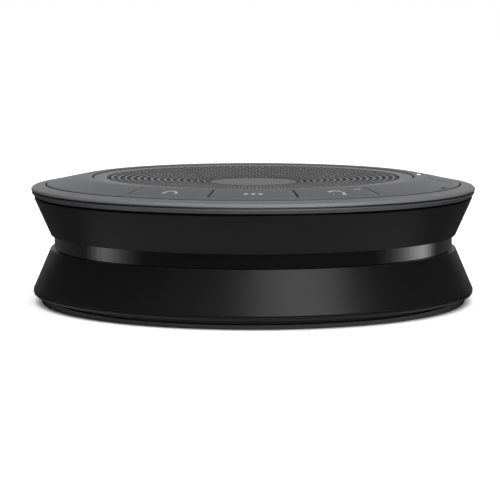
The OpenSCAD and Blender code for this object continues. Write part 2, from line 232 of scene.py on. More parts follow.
def polar_shell(
    radii: Sequence[float],
    bearings: Sequence[float],
    top: Callable[[float], float],
    bottom: Callable[[float], float],
    keep: Callable[[float, float], bool],
    closed: bool = False,
) -> bpy.types.Mesh:
    """A plate on a polar grid, with walls round every cell that is left out.

    Args:
        radii: grid radii, rising.
        bearings: grid bearings, rising.
        top: height of the upper face at a radius.
        bottom: height of the lower face at a radius.
        keep: whether the cell about a radius and bearing is solid.
        closed: whether the last bearing joins the first.

    Returns:
        A closed mesh whose faces point outwards.
    """
    verts: list[tuple[float, float, float]] = []
    known: dict[tuple[int, int, bool], int] = {}
    across = len(radii) - 1
    round_steps = len(bearings) - (0 if closed else 1)

    def vertex(i: int, j: int, upper: bool) -> int:
        """Index of a grid corner, made when it is first asked for."""
        j = j % len(bearings) if closed else j
        if (i, j, upper) not in known:
            a = math.radians(bearings[j] - 90)
            known[(i, j, upper)] = len(verts)
            height = top(radii[i]) if upper else bottom(radii[i])
            verts.append((radii[i] * math.cos(a), radii[i] * math.sin(a), height))
        return known[(i, j, upper)]

    def solid(i: int, j: int) -> bool:
        """Whether a cell exists and is solid."""
        if closed:
            j %= round_steps
        if not (0 <= i < across and 0 <= j < round_steps):
            return False
        after = bearings[(j + 1) % len(bearings)] + (360 if closed and j == round_steps - 1 else 0)
        return keep((radii[i] + radii[i + 1]) / 2, (bearings[j] + after) / 2)

    cells = {(i, j) for i in range(across) for j in range(round_steps) if solid(i, j)}
    faces = []
    for i, j in sorted(cells):
        faces.append([vertex(*c, True) for c in ((i, j), (i + 1, j), (i + 1, j + 1), (i, j + 1))])
        faces.append([vertex(*c, False) for c in ((i, j + 1), (i + 1, j + 1), (i + 1, j), (i, j))])
        edges = {
            (i + 1, j): ((i + 1, j), (i + 1, j + 1)),
            (i - 1, j): ((i, j + 1), (i, j)),
            (i, j - 1): ((i, j), (i + 1, j)),
            (i, j + 1): ((i + 1, j + 1), (i, j + 1)),
        }
        for (ni, nj), (a, b) in edges.items():
            if not solid(ni, nj):
                faces.append([vertex(*a, False), vertex(*b, False), vertex(*b, True), vertex(*a, True)])
    return mesh_of(verts, faces)


def joined(meshes: Iterable[bpy.types.Mesh], weld: float = 0.0) -> bpy.types.Mesh:
    """Several meshes as one, with points nearer than weld metres merged."""
    bm = bmesh.new()
    for mesh in meshes:
        bm.from_mesh(mesh)
    if weld:
        bmesh.ops.remove_doubles(bm, verts=bm.verts, dist=weld)
    result = bpy.data.meshes.new("mesh")
    bm.to_mesh(result)
    bm.free()
    return result


def placed(mesh: bpy.types.Mesh, bearing: float, radius: float, height: float = 0.0) -> bpy.types.Mesh:
    """Moves a mesh out along a bearing, turned so that its +X points outwards; sizes in millimetres."""
    turn = Matrix.Rotation(math.radians(bearing - 90), 4, "Z")
    mesh.transform(turn @ Matrix.Translation((radius * MM, 0, height * MM)))
    return mesh


def rounded_block(size: Sequence[float], middle: Sequence[float], radius: float,
                  steps: int = 2) -> bpy.types.Mesh:
    """A box with all its edges rounded.

    Args:
        size: its three sizes, in millimetres.
        middle: where its middle is, in millimetres.
        radius: how much is taken off each edge.
        steps: segments in each rounded edge.

    Returns:
        The mesh.
    """
    bm = bmesh.new()
    bmesh.ops.create_cube(bm, size=1.0)
    bmesh.ops.scale(bm, vec=[s * MM for s in size], verts=bm.verts)
    bmesh.ops.bevel(
        bm, geom=list(bm.edges), offset=radius * MM, segments=steps, profile=0.5, affect="EDGES"
    )
    bmesh.ops.translate(bm, vec=[c * MM for c in middle], verts=bm.verts)
    mesh = bpy.data.meshes.new("mesh")
    bm.to_mesh(mesh)
    bm.free()
    return mesh


def extruded(outline: Sequence[Point], low_z: float, high_z: float) -> bpy.types.Mesh:
    """A flat outline, counter-clockwise, raised into a prism between two heights."""
    n = len(outline)
    verts = [(x, y, z) for z in (low_z, high_z) for x, y in outline]
    sides = [[i, (i + 1) % n, n + (i + 1) % n, n + i] for i in range(n)]
    return mesh_of(verts, [list(reversed(range(n))), list(range(n, 2 * n)), *sides])


def evaluated(thing: bpy.types.Object) -> bpy.types.Object:
    """Bakes an object's modifiers into its mesh and removes them."""
    bpy.context.view_layer.update()
    graph = bpy.context.evaluated_depsgraph_get()
    mesh = bpy.data.meshes.new_from_object(thing.evaluated_get(graph))
    thing.modifiers.clear()
    thing.data = mesh
    return thing


def bevelled(mesh: bpy.types.Mesh, width: float, angle: float = 40.0, segments: int = 2) -> bpy.types.Mesh:
    """A mesh with its sharp edges rounded by a bevel of a width in millimetres."""
    thing = linked("bevel", mesh)
    bevel = thing.modifiers.new("bevel", "BEVEL")
    bevel.width = width * MM
    bevel.segments = segments
    bevel.limit_method = "ANGLE"
    bevel.angle_limit = math.radians(angle)
    bevel.use_clamp_overlap = True
    result = evaluated(thing).data
    bpy.data.objects.remove(thing)
    return result


def carved(mesh: bpy.types.Mesh, cutter: bpy.types.Mesh) -> bpy.types.Mesh:
    """A mesh with another cut out of it."""
    thing, tool = linked("blank", mesh), linked("cutter", cutter)
    cut = thing.modifiers.new("cut", "BOOLEAN")
    cut.operation = "DIFFERENCE"
    cut.solver = "EXACT"
    cut.object = tool
    result = evaluated(thing).data
    for made in (thing, tool):
        bpy.data.objects.remove(made)
    return result


# ---------------------------------------------------------------- node trees

class Wiring:
    """Short calls to add and wire the nodes of a tree."""

    prefix = "ShaderNode"

    def __init__(self, tree: bpy.types.NodeTree) -> None:
        """Works on one tree."""
        self.tree = tree

    def add(self, kind: str, settings: Optional[dict[str, object]] = None,
            **sockets: object) -> bpy.types.Node:
        """Adds a node.

        Args:
            kind: its type, without the prefix that most nodes of this kind of tree share.
            settings: the node's own properties.
            **sockets: input name, with _ for a space, or i0, i1 and so on, to a value or a socket.

        Returns:
            The node.
        """
        full = kind if kind.startswith(("Shader", "Function")) else self.prefix + kind
        node = self.tree.nodes.new(full)
        for key, value in (settings or {}).items():
            setattr(node, key, value)
        for key, value in sockets.items():
            name = int(key[1:]) if key[0] == "i" and key[1:].isdigit() else key.replace("_", " ")
            self.feed(node.inputs[name], value)
        return node

    def feed(self, socket: bpy.types.NodeSocket, value: object) -> None:
        """Links a socket to another, or sets its value."""
        if isinstance(value, bpy.types.NodeSocket):
            self.tree.links.new(value, socket)
        elif isinstance(value, tuple) and len(value) == 3 and socket.type == "RGBA":
            socket.default_value = (*value, 1.0)
        else:
            socket.default_value = value

    def math(self, operation: str, a: object, b: object = 0.0) -> bpy.types.NodeSocket:
        """A math node's result."""
        return self.add("ShaderNodeMath", {"operation": operation}, i0=a, i1=b).outputs[0]

    def plus(self, a: object, b: object) -> bpy.types.NodeSocket:
        """The sum of two values."""
        return self.math("ADD", a, b)

    def minus(self, a: object, b: object) -> bpy.types.NodeSocket:
        """The difference of two values."""
        return self.math("SUBTRACT", a, b)

    def times(self, a: object, b: object) -> bpy.types.NodeSocket:
        """The product of two values."""
        return self.math("MULTIPLY", a, b)

    def reach(self, x: object, y: object) -> bpy.types.NodeSocket:
        """The distance from the Z axis."""
        return self.math("SQRT", self.plus(self.times(x, x), self.times(y, y)))


class GeometryTree(Wiring):
    """A geometry node tree with named inputs."""

    prefix = "GeometryNode"

    def __init__(self, name: str, inputs: dict[str, tuple[str, object]]) -> None:
        """Makes the tree and its sockets.

        Args:
            name: the tree's name.
            inputs: input name to (kind of socket, default value or None).
        """
        super().__init__(bpy.data.node_groups.new(name, "GeometryNodeTree"))
        self.tree.interface.new_socket("Geometry", in_out="OUTPUT", socket_type="NodeSocketGeometry")
        self.tree.interface.new_socket("Geometry", in_out="INPUT", socket_type="NodeSocketGeometry")
        self.identifiers: dict[str, str] = {}
        for label, (kind, value) in inputs.items():
            socket = self.tree.interface.new_socket(label, in_out="INPUT", socket_type="NodeSocket" + kind)
            if value is not None:
                socket.default_value = value
            self.identifiers[label] = socket.identifier
        self.inputs = self.tree.nodes.new("NodeGroupInput")
        self.output = self.tree.nodes.new("NodeGroupOutput")

    def combine(self, x: object, y: object, z: object) -> bpy.types.NodeSocket:
        """A vector from three numbers."""
        return self.add("ShaderNodeCombineXYZ", X=x, Y=y, Z=z).outputs[0]

    def finish(self, geometry: bpy.types.NodeSocket) -> None:
        """Ends the tree in Realize Instances and Set Material."""
        real = self.add("RealizeInstances", Geometry=geometry).outputs[0]
        dressed = self.add("SetMaterial", Geometry=real, Material=self.inputs.outputs["Material"])
        self.tree.links.new(dressed.outputs[0], self.output.inputs[0])

    def run(self, base: bpy.types.Mesh, values: dict[str, object]) -> bpy.types.Mesh:
        """The tree's result on a mesh.

        Args:
            base: the mesh that goes in.
            values: input name to value.

        Returns:
            A plain mesh.
        """
        thing = linked("tree", base)
        modifier = thing.modifiers.new("nodes", "NODES")
        modifier.node_group = self.tree
        for label, value in values.items():
            modifier[self.identifiers[label]] = value
        result = evaluated(thing).data
        bpy.data.objects.remove(thing)
        return result


class RingOfPieces:
    """Copies of one small mesh on a circle about Z, each turned by a seeded amount."""

    _tree: Optional[GeometryTree] = None

    @classmethod
    def tree(cls) -> GeometryTree:
        """The tree, made once."""
        if cls._tree is None:
            t = GeometryTree(
                "ring_of_pieces",
                {
                    "Count": ("Int", 4),
                    "Radius": ("Float", 0.04),
                    "First Angle": ("Float", 0.0),
                    "Height": ("Float", 0.0),
                    "Tilt": ("Float", 0.0),
                    "Loose Turn": ("Float", 0.0),
                    "Seed": ("Int", 1),
                    "Material": ("Material", None),
                },
            )
            at = t.inputs.outputs
            number = t.add("InputIndex").outputs[0]
            share = t.math("DIVIDE", number, at["Count"])
            angle = t.plus(t.times(share, math.tau), at["First Angle"])
            x = t.times(t.math("COSINE", angle), at["Radius"])
            y = t.times(t.math("SINE", angle), at["Radius"])
            points = t.add("Points", Count=at["Count"], Position=t.combine(x, y, at["Height"])).outputs[0]
            loose = t.add(
                "FunctionNodeRandomValue", {"data_type": "FLOAT"},
                i2=0.0, i3=at["Loose Turn"], Seed=at["Seed"],
            ).outputs[1]
            spin = t.add("FunctionNodeEulerToRotation", i0=t.combine(0.0, 0.0, t.plus(angle, loose)))
            tilt = t.add("FunctionNodeEulerToRotation", i0=t.combine(at["Tilt"], 0.0, 0.0))
            turned = t.add(
                "FunctionNodeRotateRotation", {"rotation_space": "LOCAL"},
                i0=spin.outputs[0], i1=tilt.outputs[0],
            )
            copies = t.add("InstanceOnPoints", Points=points, Instance=at["Geometry"],
                           Rotation=turned.outputs[0])
            t.finish(copies.outputs[0])
            cls._tree = t
        return cls._tree

    @classmethod
    def make(cls, piece: bpy.types.Mesh, count: int, radius: float, bearing: float, height: float,
             material: bpy.types.Material, tilt: float = 0.0, loose: float = 0.0,
             seed: int = 1) -> bpy.types.Mesh:
        """Runs the tree.

        Args:
            piece: the mesh to repeat, at the origin.
            count: how many.
            radius: of the circle, in millimetres.
            bearing: of the first copy, in degrees.
            height: of the circle, in millimetres.
            material: what they are made of.
            tilt: turn about the outward axis, in degrees; 180 puts them upside down.
            loose: largest extra turn of a copy about its own axis, in degrees.
            seed: of that turn.

        Returns:
            All the copies as one mesh.
        """
        tree = cls.tree()
        return tree.run(
            piece,
            {
                "Count": count,
                "Radius": radius * MM,
                "First Angle": math.radians(bearing - 90),
                "Height": height * MM,
                "Tilt": math.radians(tilt),
                "Loose Turn": math.radians(loose),
                "Seed": seed,
                "Material": material,
            },
        )


# ---------------------------------------------------------------- finishes

class NodeBench(Wiring):
    """Short calls to add and wire shader nodes in a material or a group."""

    def mix(self, share: object, a: object, b: object, blend: str = "MIX") -> bpy.types.NodeSocket:
        """Two colours mixed by a share."""
        node = self.add("Mix", {"data_type": "RGBA", "blend_type": blend})
        for slot, value in ((0, share), (6, a), (7, b)):
            self.feed(node.inputs[slot], value)
        return node.outputs[2]

    def spread(self, value: object, low_in: float, high_in: float, low_out: object, high_out: object,
               ) -> bpy.types.NodeSocket:
        """A value moved from one range to another."""
        return self.add("MapRange", i0=value, i1=low_in, i2=high_in, i3=low_out, i4=high_out).outputs[0]

    def group(self, tree: bpy.types.NodeTree, **sockets: object) -> bpy.types.Node:
        """Places a shader node group."""
        node = self.tree.nodes.new("ShaderNodeGroup")
        node.node_tree = tree
        for key, value in sockets.items():
            self.feed(node.inputs[key.replace("_", " ")], value)
        return node


GREY_INPUT = ("Color", (0.5, 0.5, 0.5, 1))
FINISHED = {"Colour": "Color", "Roughness": "Float"}
LINED = {"Mask": "Float", "Height": "Float"}


class Effects:
    """The shader node groups that several finishes share, each built once."""

    @classmethod
    def _group(cls, name: str, inputs: dict[str, tuple[str, object]], outputs: dict[str, str],
               ) -> tuple[bpy.types.NodeTree, NodeBench, bpy.types.Node, bpy.types.Node]:
        """Starts a group with its sockets."""
        tree = bpy.data.node_groups.new(name, "ShaderNodeTree")
        for label, (kind, value) in inputs.items():
            socket = tree.interface.new_socket(label, in_out="INPUT", socket_type="NodeSocket" + kind)
            socket.default_value = value
        for label, kind in outputs.items():
            tree.interface.new_socket(label, in_out="OUTPUT", socket_type="NodeSocket" + kind)
        return tree, NodeBench(tree), tree.nodes.new("NodeGroupInput"), tree.nodes.new("NodeGroupOutput")

    @classmethod
    @lru_cache(maxsize=None)
    def grain(cls) -> bpy.types.NodeTree:
        """Moulded or sprayed grain: slow colour drift, roughness drift and a fine height."""
        tree, b, given, out = cls._group(
            "grain",
            {
                "Colour": GREY_INPUT,
                "Drift": ("Float", 0.08), "Scale": ("Float", 3000.0),
                "Roughness": ("Float", 0.5), "Spread": ("Float", 0.06), "Depth": ("Float", 1.0),
            },
            {"Colour": "Color", "Roughness": "Float", "Height": "Float"},
        )
        at = b.add("TexCoord").outputs["Object"]
        scale = given.outputs["Scale"]
        fine = b.add("TexNoise", Vector=at, Scale=scale, Detail=3.0, Roughness=0.6).outputs[0]
        slow = b.add("TexNoise", Vector=at, Scale=60.0, Detail=4.0, Roughness=0.5).outputs[0]
        speck = b.add("TexVoronoi", Vector=at, Scale=scale).outputs[0]
        drift = b.times(b.minus(slow, 0.5), given.outputs["Drift"])
        fleck = b.times(b.minus(fine, 0.5), given.outputs["Drift"])
        bright = b.plus(1.0, b.plus(drift, fleck))
        tinted = b.add("VectorMath", {"operation": "SCALE"}, i0=given.outputs["Colour"], Scale=bright)
        b.feed(out.inputs["Colour"], tinted.outputs[0])
        uneven = b.times(b.minus(slow, 0.5), given.outputs["Spread"])
        b.feed(out.inputs["Roughness"], b.plus(given.outputs["Roughness"], uneven))
        b.feed(out.inputs["Height"], b.times(b.plus(fine, b.times(speck, 0.4)),
                                            given.outputs["Depth"]))
        return tree

    @classmethod
    @lru_cache(maxsize=None)
    def edge_wear(cls) -> bpy.types.NodeTree:
        """Handling wear: convex edges a little lighter and smoother, broken up by noise."""
        tree, b, given, out = cls._group(
            "edge_wear",
            {
                "Colour": GREY_INPUT, "Worn Colour": ("Color", (0.6, 0.6, 0.6, 1)),
                "Roughness": ("Float", 0.5), "Amount": ("Float", 0.5),
            },
            FINISHED,
        )
        edge = b.spread(b.add("NewGeometry").outputs["Pointiness"], 0.52, 0.6, 0.0, 1.0)
        at = b.add("TexCoord").outputs["Object"]
        patch = b.add("TexNoise", Vector=at, Scale=220.0, Detail=3.0).outputs[0]
        mask = b.times(b.times(edge, b.spread(patch, 0.35, 0.7, 0.2, 1.0)),
                      given.outputs["Amount"])
        b.feed(out.inputs["Colour"], b.mix(mask, given.outputs["Colour"], given.outputs["Worn Colour"]))
        b.feed(out.inputs["Roughness"], b.minus(given.outputs["Roughness"],
                                               b.times(mask, 0.12)))
        return tree

    @classmethod
    @lru_cache(maxsize=None)
    def dust(cls) -> bpy.types.NodeTree:
        """A thin film of dust on faces that look up."""
        tree, b, given, out = cls._group(
            "dust",
            {
                "Colour": GREY_INPUT, "Roughness": ("Float", 0.5),
                "Amount": ("Float", 0.05),
            },
            FINISHED,
        )
        up = b.spread(b.add("SeparateXYZ", Vector=b.add("NewGeometry").outputs["Normal"]).outputs[2],
                      0.3, 1.0, 0.0, 1.0)
        cloud = b.add("TexNoise", Vector=b.add("TexCoord").outputs["Object"], Scale=45.0, Detail=6.0,
                      Roughness=0.65).outputs[0]
        mask = b.times(b.times(up, b.spread(cloud, 0.4, 0.75, 0.0, 1.0)),
                      given.outputs["Amount"])
        b.feed(out.inputs["Colour"], b.mix(mask, given.outputs["Colour"], (0.55, 0.54, 0.52)))
        b.feed(out.inputs["Roughness"], b.plus(given.outputs["Roughness"], b.times(mask, 0.5)))
        return tree

    @classmethod
    @lru_cache(maxsize=None)
    def turned(cls) -> bpy.types.NodeTree:
        """Fine lines that run round the Z axis, as on a turned or brushed ring."""
        tree, b, given, out = cls._group(
            "turned", {"Lines": ("Float", 9000.0), "Depth": ("Float", 1.0)},
            LINED,
        )
        place = b.add("SeparateXYZ", Vector=b.add("TexCoord").outputs["Object"])
        x, y, z = place.outputs
        radius = b.reach(x, y)
        angle = b.math("ARCTAN2", y, x)
        spot = b.add("CombineXYZ", X=b.times(b.math("SINE", angle), 2.0),
                     Y=b.times(radius, given.outputs["Lines"]),
                     Z=b.times(z, given.outputs["Lines"])).outputs[0]
        lines = b.add("TexNoise", Vector=spot, Scale=1.0, Detail=3.0, Roughness=0.7).outputs[0]
        b.feed(out.inputs["Mask"], lines)
        b.feed(out.inputs["Height"], b.times(lines, given.outputs["Depth"]))
        return tree

    @classmethod
    @lru_cache(maxsize=None)
    def weave(cls) -> bpy.types.NodeTree:
        """A plain weave of threads along X and Y."""
        tree, b, given, out = cls._group(
            "weave", {"Threads": ("Float", 3000.0)}, LINED
        )
        place = b.add("SeparateXYZ", Vector=b.add("TexCoord").outputs["Object"])
        waves = [b.math("SINE", b.times(side, given.outputs["Threads"])) for side in place.outputs[:2]]
        over = b.times(waves[0], waves[1])
        b.feed(out.inputs["Mask"], b.spread(over, -1.0, 1.0, 0.0, 1.0))
        b.feed(out.inputs["Height"], b.plus(b.math("ABSOLUTE", waves[0]), b.math("ABSOLUTE", waves[1])))
        return tree


@dataclass(frozen=True)
class Finish:
    """A moulded or sprayed plastic, and the base of every other finish.

    Attributes are the look at the surface: colour and roughness, the grain's scale per metre and its
    depth in millimetres, how far the colour drifts, how much the edges are worn and how much dust
    lies on top.
    """

    name: str
    colour: Colour
    roughness: float = 0.5
    metallic: float = 0.0
    coat: float = 0.0
    coat_roughness: float = 0.1
    specular: float = 0.5
    grain_scale: float = 3000.0
    grain_depth: float = 0.004
    drift: float = 0.08
    wear: float = 0.25
    dust: float = 0.04

    def material(self) -> bpy.types.Material:
        """The Blender material, made the first time it is asked for."""
        found = bpy.data.materials.get("look_" + self.name)
        if found:
            return found
        made = bpy.data.materials.new("look_" + self.name)
        made.use_nodes = True
        bench = NodeBench(made.node_tree)
        shader = made.node_tree.nodes["Principled BSDF"]
        shader.inputs["Metallic"].default_value = self.metallic
        shader.inputs["Coat Weight"].default_value = self.coat
        shader.inputs["Coat Roughness"].default_value = self.coat_roughness
        shader.inputs["Specular IOR Level"].default_value = self.specular
        made.diffuse_color = (*self.colour, 1.0)
        self.dress(bench, shader)
        return made

    def surface(self, b: NodeBench) -> Sockets:
        """The grain's colour, roughness and height."""
        grain = b.group(
            Effects.grain(), Colour=(*self.colour, 1.0), Drift=self.drift, Scale=self.grain_scale,
            Roughness=self.roughness, Spread=self.roughness * 0.12, Depth=1.0,
        )
        return grain.outputs["Colour"], grain.outputs["Roughness"], grain.outputs["Height"]

    def handled(self, b: NodeBench, colour: bpy.types.NodeSocket, rough: bpy.types.NodeSocket) -> Sockets:
        """Adds edge wear and dust to a colour and a roughness."""
        lighter = tuple(min(1.0, c * 1.5 + 0.02) for c in self.colour)
        worn = b.group(Effects.edge_wear(), Colour=colour, Worn_Colour=(*lighter, 1.0), Roughness=rough,
                       Amount=self.wear)
        film = b.group(Effects.dust(), Colour=worn.outputs["Colour"], Roughness=worn.outputs["Roughness"],
                       Amount=self.dust)
        return film.outputs["Colour"], film.outputs["Roughness"]

    @staticmethod
    def wire(b: NodeBench, shader: bpy.types.Node, looks: Sockets, depth: float) -> None:
        """Feeds a colour, a roughness and a height, of a depth in millimetres, to the shader."""
        colour, rough, height = looks
        b.feed(shader.inputs["Base Color"], colour)
        b.feed(shader.inputs["Roughness"], rough)
        node = b.add("Bump", Strength=1.0, Distance=depth * MM, Height=height)
        b.feed(shader.inputs["Normal"], node.outputs[0])

    def dress(self, b: NodeBench, shader: bpy.types.Node) -> None:
        """Wires the finish into the shader."""
        colour, rough, height = self.surface(b)
        self.wire(b, shader, (*self.handled(b, colour, rough), height), self.grain_depth)


@dataclass(frozen=True)
class PunchedFinish(Finish):
    """A sprayed sheet with painted shade: faces that don't look up, the hole walls among them, are painted
    near-black, and the smooth middle is painted darker.
    """

    # Painted shade: near-black colour painted on the hole walls and the underside.
    wall: Colour = (0.004, 0.004, 0.0045)
    wall_roughness: float = 0.8
    middle: float = 0.6        # painted shade: how much darker the smooth middle is painted
    painted_shade_start: float = 0.0115
    painted_shade_end: float = 0.021

    def dress(self, b: NodeBench, shader: bpy.types.Node) -> None:
        """Wires the finish into the shader."""
        colour, rough, height = self.surface(b)
        colour, rough = self.handled(b, colour, rough)
        up = b.add("SeparateXYZ", Vector=b.add("NewGeometry").outputs["True Normal"]).outputs[2]
        face = b.spread(up, 0.6, 0.9, 0.0, 1.0)
        x, y, _ = b.add("SeparateXYZ", Vector=b.add("TexCoord").outputs["Object"]).outputs
        reach = b.reach(x, y)
        # Painted shade: the smooth middle is painted darker, fading out towards the rings of holes.
        shade = b.spread(reach, self.painted_shade_start, self.painted_shade_end, self.middle, 1.0)
        painted_shade_tint = b.add("CombineColor", Red=shade, Green=shade, Blue=shade).outputs[0]
        colour = b.mix(1.0, colour, painted_shade_tint, "MULTIPLY")
        # Painted shade: faces that don't look up take the near-black wall colour.
        colour = b.mix(face, (*self.wall, 1.0), colour)
        rough = b.spread(face, 0.0, 1.0, self.wall_roughness, rough)
        self.wire(b, shader, (colour, rough, height), self.grain_depth)


@dataclass(frozen=True)
class TurnedFinish(Finish):
    """A metal or polished plastic with fine lines round its axis."""

    lines: float = 9000.0
    line_depth: float = 0.002

    def dress(self, b: NodeBench, shader: bpy.types.Node) -> None:
        """Wires the finish into the shader."""
        colour, rough, _ = self.surface(b)
        turned = b.group(Effects.turned(), Lines=self.lines, Depth=1.0)
        rough = b.plus(rough, b.spread(turned.outputs["Mask"], 0.3, 0.7, -0.05, 0.08))
        looks = (*self.handled(b, colour, rough), turned.outputs["Height"])
        self.wire(b, shader, looks, self.line_depth)


@dataclass(frozen=True)
class WovenFinish(Finish):
    """A woven cloth, with painted shade in the darker gaps between its threads."""

    threads: float = 9000.0
    thread_depth: float = 0.03
    # Painted shade: the colour painted in the gaps between the threads.
    painted_gap_shade: Colour = (0.004, 0.004, 0.004)

    def dress(self, b: NodeBench, shader: bpy.types.Node) -> None:
        """Wires the finish into the shader."""
        colour, rough, _ = self.surface(b)
        weave = b.group(Effects.weave(), Threads=self.threads)
        # Painted shade: the gaps between the threads take the gap colour.
        colour = b.mix(weave.outputs["Mask"], self.painted_gap_shade, colour)
        self.wire(b, shader, (colour, rough, weave.outputs["Height"]), self.thread_depth)


@dataclass(frozen=True)
class BoardFinish(Finish):
    """Solder mask over copper tracks, with plated vias."""

    track_colour: Colour = (0.03, 0.22, 0.12)
    pad_colour: Colour = (0.75, 0.62, 0.3)
    cells: float = 420.0         # of the track pattern, per metre
    vias: float = 260.0
    track_depth: float = 0.03

    def dress(self, b: NodeBench, shader: bpy.types.Node) -> None:
        """Wires the finish into the shader."""
        at = b.add("TexCoord").outputs["Object"]
        colour, rough, _ = self.surface(b)
        cells = b.add("TexVoronoi", {"distance": "CHEBYCHEV", "feature": "F2"}, Vector=at, Scale=self.cells)
        near = b.add("TexVoronoi", {"distance": "CHEBYCHEV"}, Vector=at, Scale=self.cells)
        edge = b.minus(cells.outputs["Distance"], near.outputs["Distance"])
        track = b.spread(edge, 0.08, 0.12, 1.0, 0.0)
        dots = b.add("TexVoronoi", {"feature": "F1"}, Vector=at, Scale=self.vias)
        via = b.spread(dots.outputs["Distance"], 0.1, 0.13, 1.0, 0.0)
        tracked = b.mix(track, colour, self.track_colour)
        b.feed(shader.inputs["Metallic"], via)
        looks = (b.mix(via, tracked, self.pad_colour), rough, b.math("MAXIMUM", track, via))
        self.wire(b, shader, looks, self.track_depth)


@dataclass(frozen=True)
class WoundFinish(Finish):
    """Enamelled wire wound in close turns along Z, with painted shade in the creases between the turns."""

    pitch: float = 0.16

    def dress(self, b: NodeBench, shader: bpy.types.Node) -> None:
        """Wires the finish into the shader."""
        colour, rough, _ = self.surface(b)
        z = b.add("SeparateXYZ", Vector=b.add("TexCoord").outputs["Object"]).outputs[2]
        wire = b.math("ABSOLUTE", b.math("SINE", b.times(z, math.pi / (self.pitch * MM))))
        # Painted shade: the creases between the turns are painted at about a third of the wire's colour.
        crease_shade = tuple(c * 0.35 for c in self.colour)
        colour = b.mix(b.spread(wire, 0.0, 0.5, 0.0, 1.0), crease_shade, colour)
        self.wire(b, shader, (colour, rough, wire), self.pitch / 2)


@dataclass(frozen=True)
class LampFinish(Finish):
    """Milky plastic that is lit from inside."""

    glow: float = 3.0

    def dress(self, b: NodeBench, shader: bpy.types.Node) -> None:
        """Wires the finish into the shader."""
        super().dress(b, shader)
        at = b.add("TexCoord").outputs["Object"]
        cloud = b.add("TexNoise", Vector=at, Scale=900.0, Detail=2.0).outputs[0]
        b.feed(shader.inputs["Emission Color"], b.mix(cloud, (1.0, 1.0, 1.0), (0.92, 0.96, 1.0)))
        shader.inputs["Emission Strength"].default_value = self.glow


GRAPHITE = Finish("graphite_paint", (0.150, 0.152, 0.158), roughness=0.42, specular=0.5, grain_scale=5200,
                  grain_depth=0.006, drift=0.10, wear=0.35, dust=0.03)
# This finish carries painted shade in its hole walls and in its smooth middle.
PUNCHED = PunchedFinish("punched_plate", (0.165, 0.167, 0.172), roughness=0.42, specular=0.5,
                        grain_scale=5200, grain_depth=0.006)
KEY_GRAPHITE = Finish("key_paint", (0.146, 0.148, 0.154), roughness=0.44, grain_scale=5200,
                      grain_depth=0.006, drift=0.10, wear=0.30, dust=0.03)
BAND_GREY = Finish("band_paint", (0.078, 0.078, 0.080), roughness=0.38, grain_scale=5200, grain_depth=0.004,
                   wear=0.30, dust=0.0)
SATIN_BLACK = Finish("satin_black", (0.0085, 0.0085, 0.0092), roughness=0.38, grain_scale=3600,
                     grain_depth=0.006, drift=0.25, wear=0.25, dust=0.02)
GLOSS_BLACK = TurnedFinish("gloss_black", (0.006, 0.006, 0.0065), roughness=0.13, coat=0.3,
                           coat_roughness=0.06, lines=5200, line_depth=0.0012, wear=0.2, dust=0.02)
FOOT_RUBBER = Finish("foot_rubber", (0.12, 0.12, 0.123), roughness=0.78, specular=0.3, grain_scale=1800,
                     grain_depth=0.02, drift=0.3, wear=0.5, dust=0.12)
SOFT_RUBBER = Finish("soft_rubber", (0.03, 0.03, 0.032), roughness=0.7, grain_scale=1500, grain_depth=0.015,
                     drift=0.25, dust=0.05)
# The woven finishes carry painted shade in the gaps between their threads.
CLOTH = WovenFinish("acoustic_cloth", (0.010, 0.010, 0.011), roughness=0.9, specular=0.2, dust=0.0)
PRINT = Finish("key_print", (0.5, 0.5, 0.51), roughness=0.55, grain_scale=6000, grain_depth=0.002, wear=0.0)
LAMP = LampFinish("status_lamp", (0.9, 0.9, 0.9), roughness=0.35, grain_depth=0.001)
STEEL = TurnedFinish("plated_steel", (0.56, 0.57, 0.58), roughness=0.32, metallic=1.0, lines=7000, dust=0.0)
BLACK_STEEL = Finish("black_steel", (0.05, 0.05, 0.054), roughness=0.45, grain_scale=2600, grain_depth=0.006)
FERRITE = Finish("ferrite", (0.06, 0.06, 0.064), roughness=0.62, grain_scale=1700, grain_depth=0.02,
                 drift=0.35)
PULP = Finish("pressed_pulp", (0.035, 0.035, 0.038), roughness=0.85, specular=0.25, grain_scale=900,
              grain_depth=0.06, drift=0.5, dust=0.0)
SPIDER_CLOTH = WovenFinish("spider_cloth", (0.55, 0.38, 0.14), roughness=0.7, threads=6500,
                           painted_gap_shade=(0.16, 0.1, 0.03))
# This finish carries painted shade between the wire's turns.
COPPER = WoundFinish("coil_wire", (0.62, 0.26, 0.11), roughness=0.28, metallic=0.9)
BOARD = BoardFinish("circuit_board", (0.012, 0.105, 0.055), roughness=0.3, coat=0.3)
CHIP = Finish("chip_epoxy", (0.02, 0.02, 0.022), roughness=0.55, grain_scale=4200, grain_depth=0.006)
TINNED = Finish("tinned_metal", (0.66, 0.66, 0.65), roughness=0.34, metallic=1.0, grain_scale=1200,
                grain_depth=0.01, dust=0.0)
NYLON = Finish("natural_nylon", (0.72, 0.68, 0.56), roughness=0.5, grain_scale=1500, grain_depth=0.01)
FILM = Finish("polyimide_film", (0.50, 0.20, 0.03), roughness=0.25, coat=0.5, grain_scale=700,
              grain_depth=0.01)
SLEEVE_RED = Finish("wire_red", (0.45, 0.02, 0.02), roughness=0.4, grain_scale=1500, grain_depth=0.006)
FOIL = Finish("cell_foil", (0.42, 0.43, 0.45), roughness=0.34, metallic=0.85, grain_scale=500,
              grain_depth=0.03, drift=0.15)
FOAM = Finish("foam", (0.05, 0.05, 0.052), roughness=0.95, specular=0.1, grain_scale=1400, grain_depth=0.08,
              drift=0.4)


# ---------------------------------------------------------------- pieces

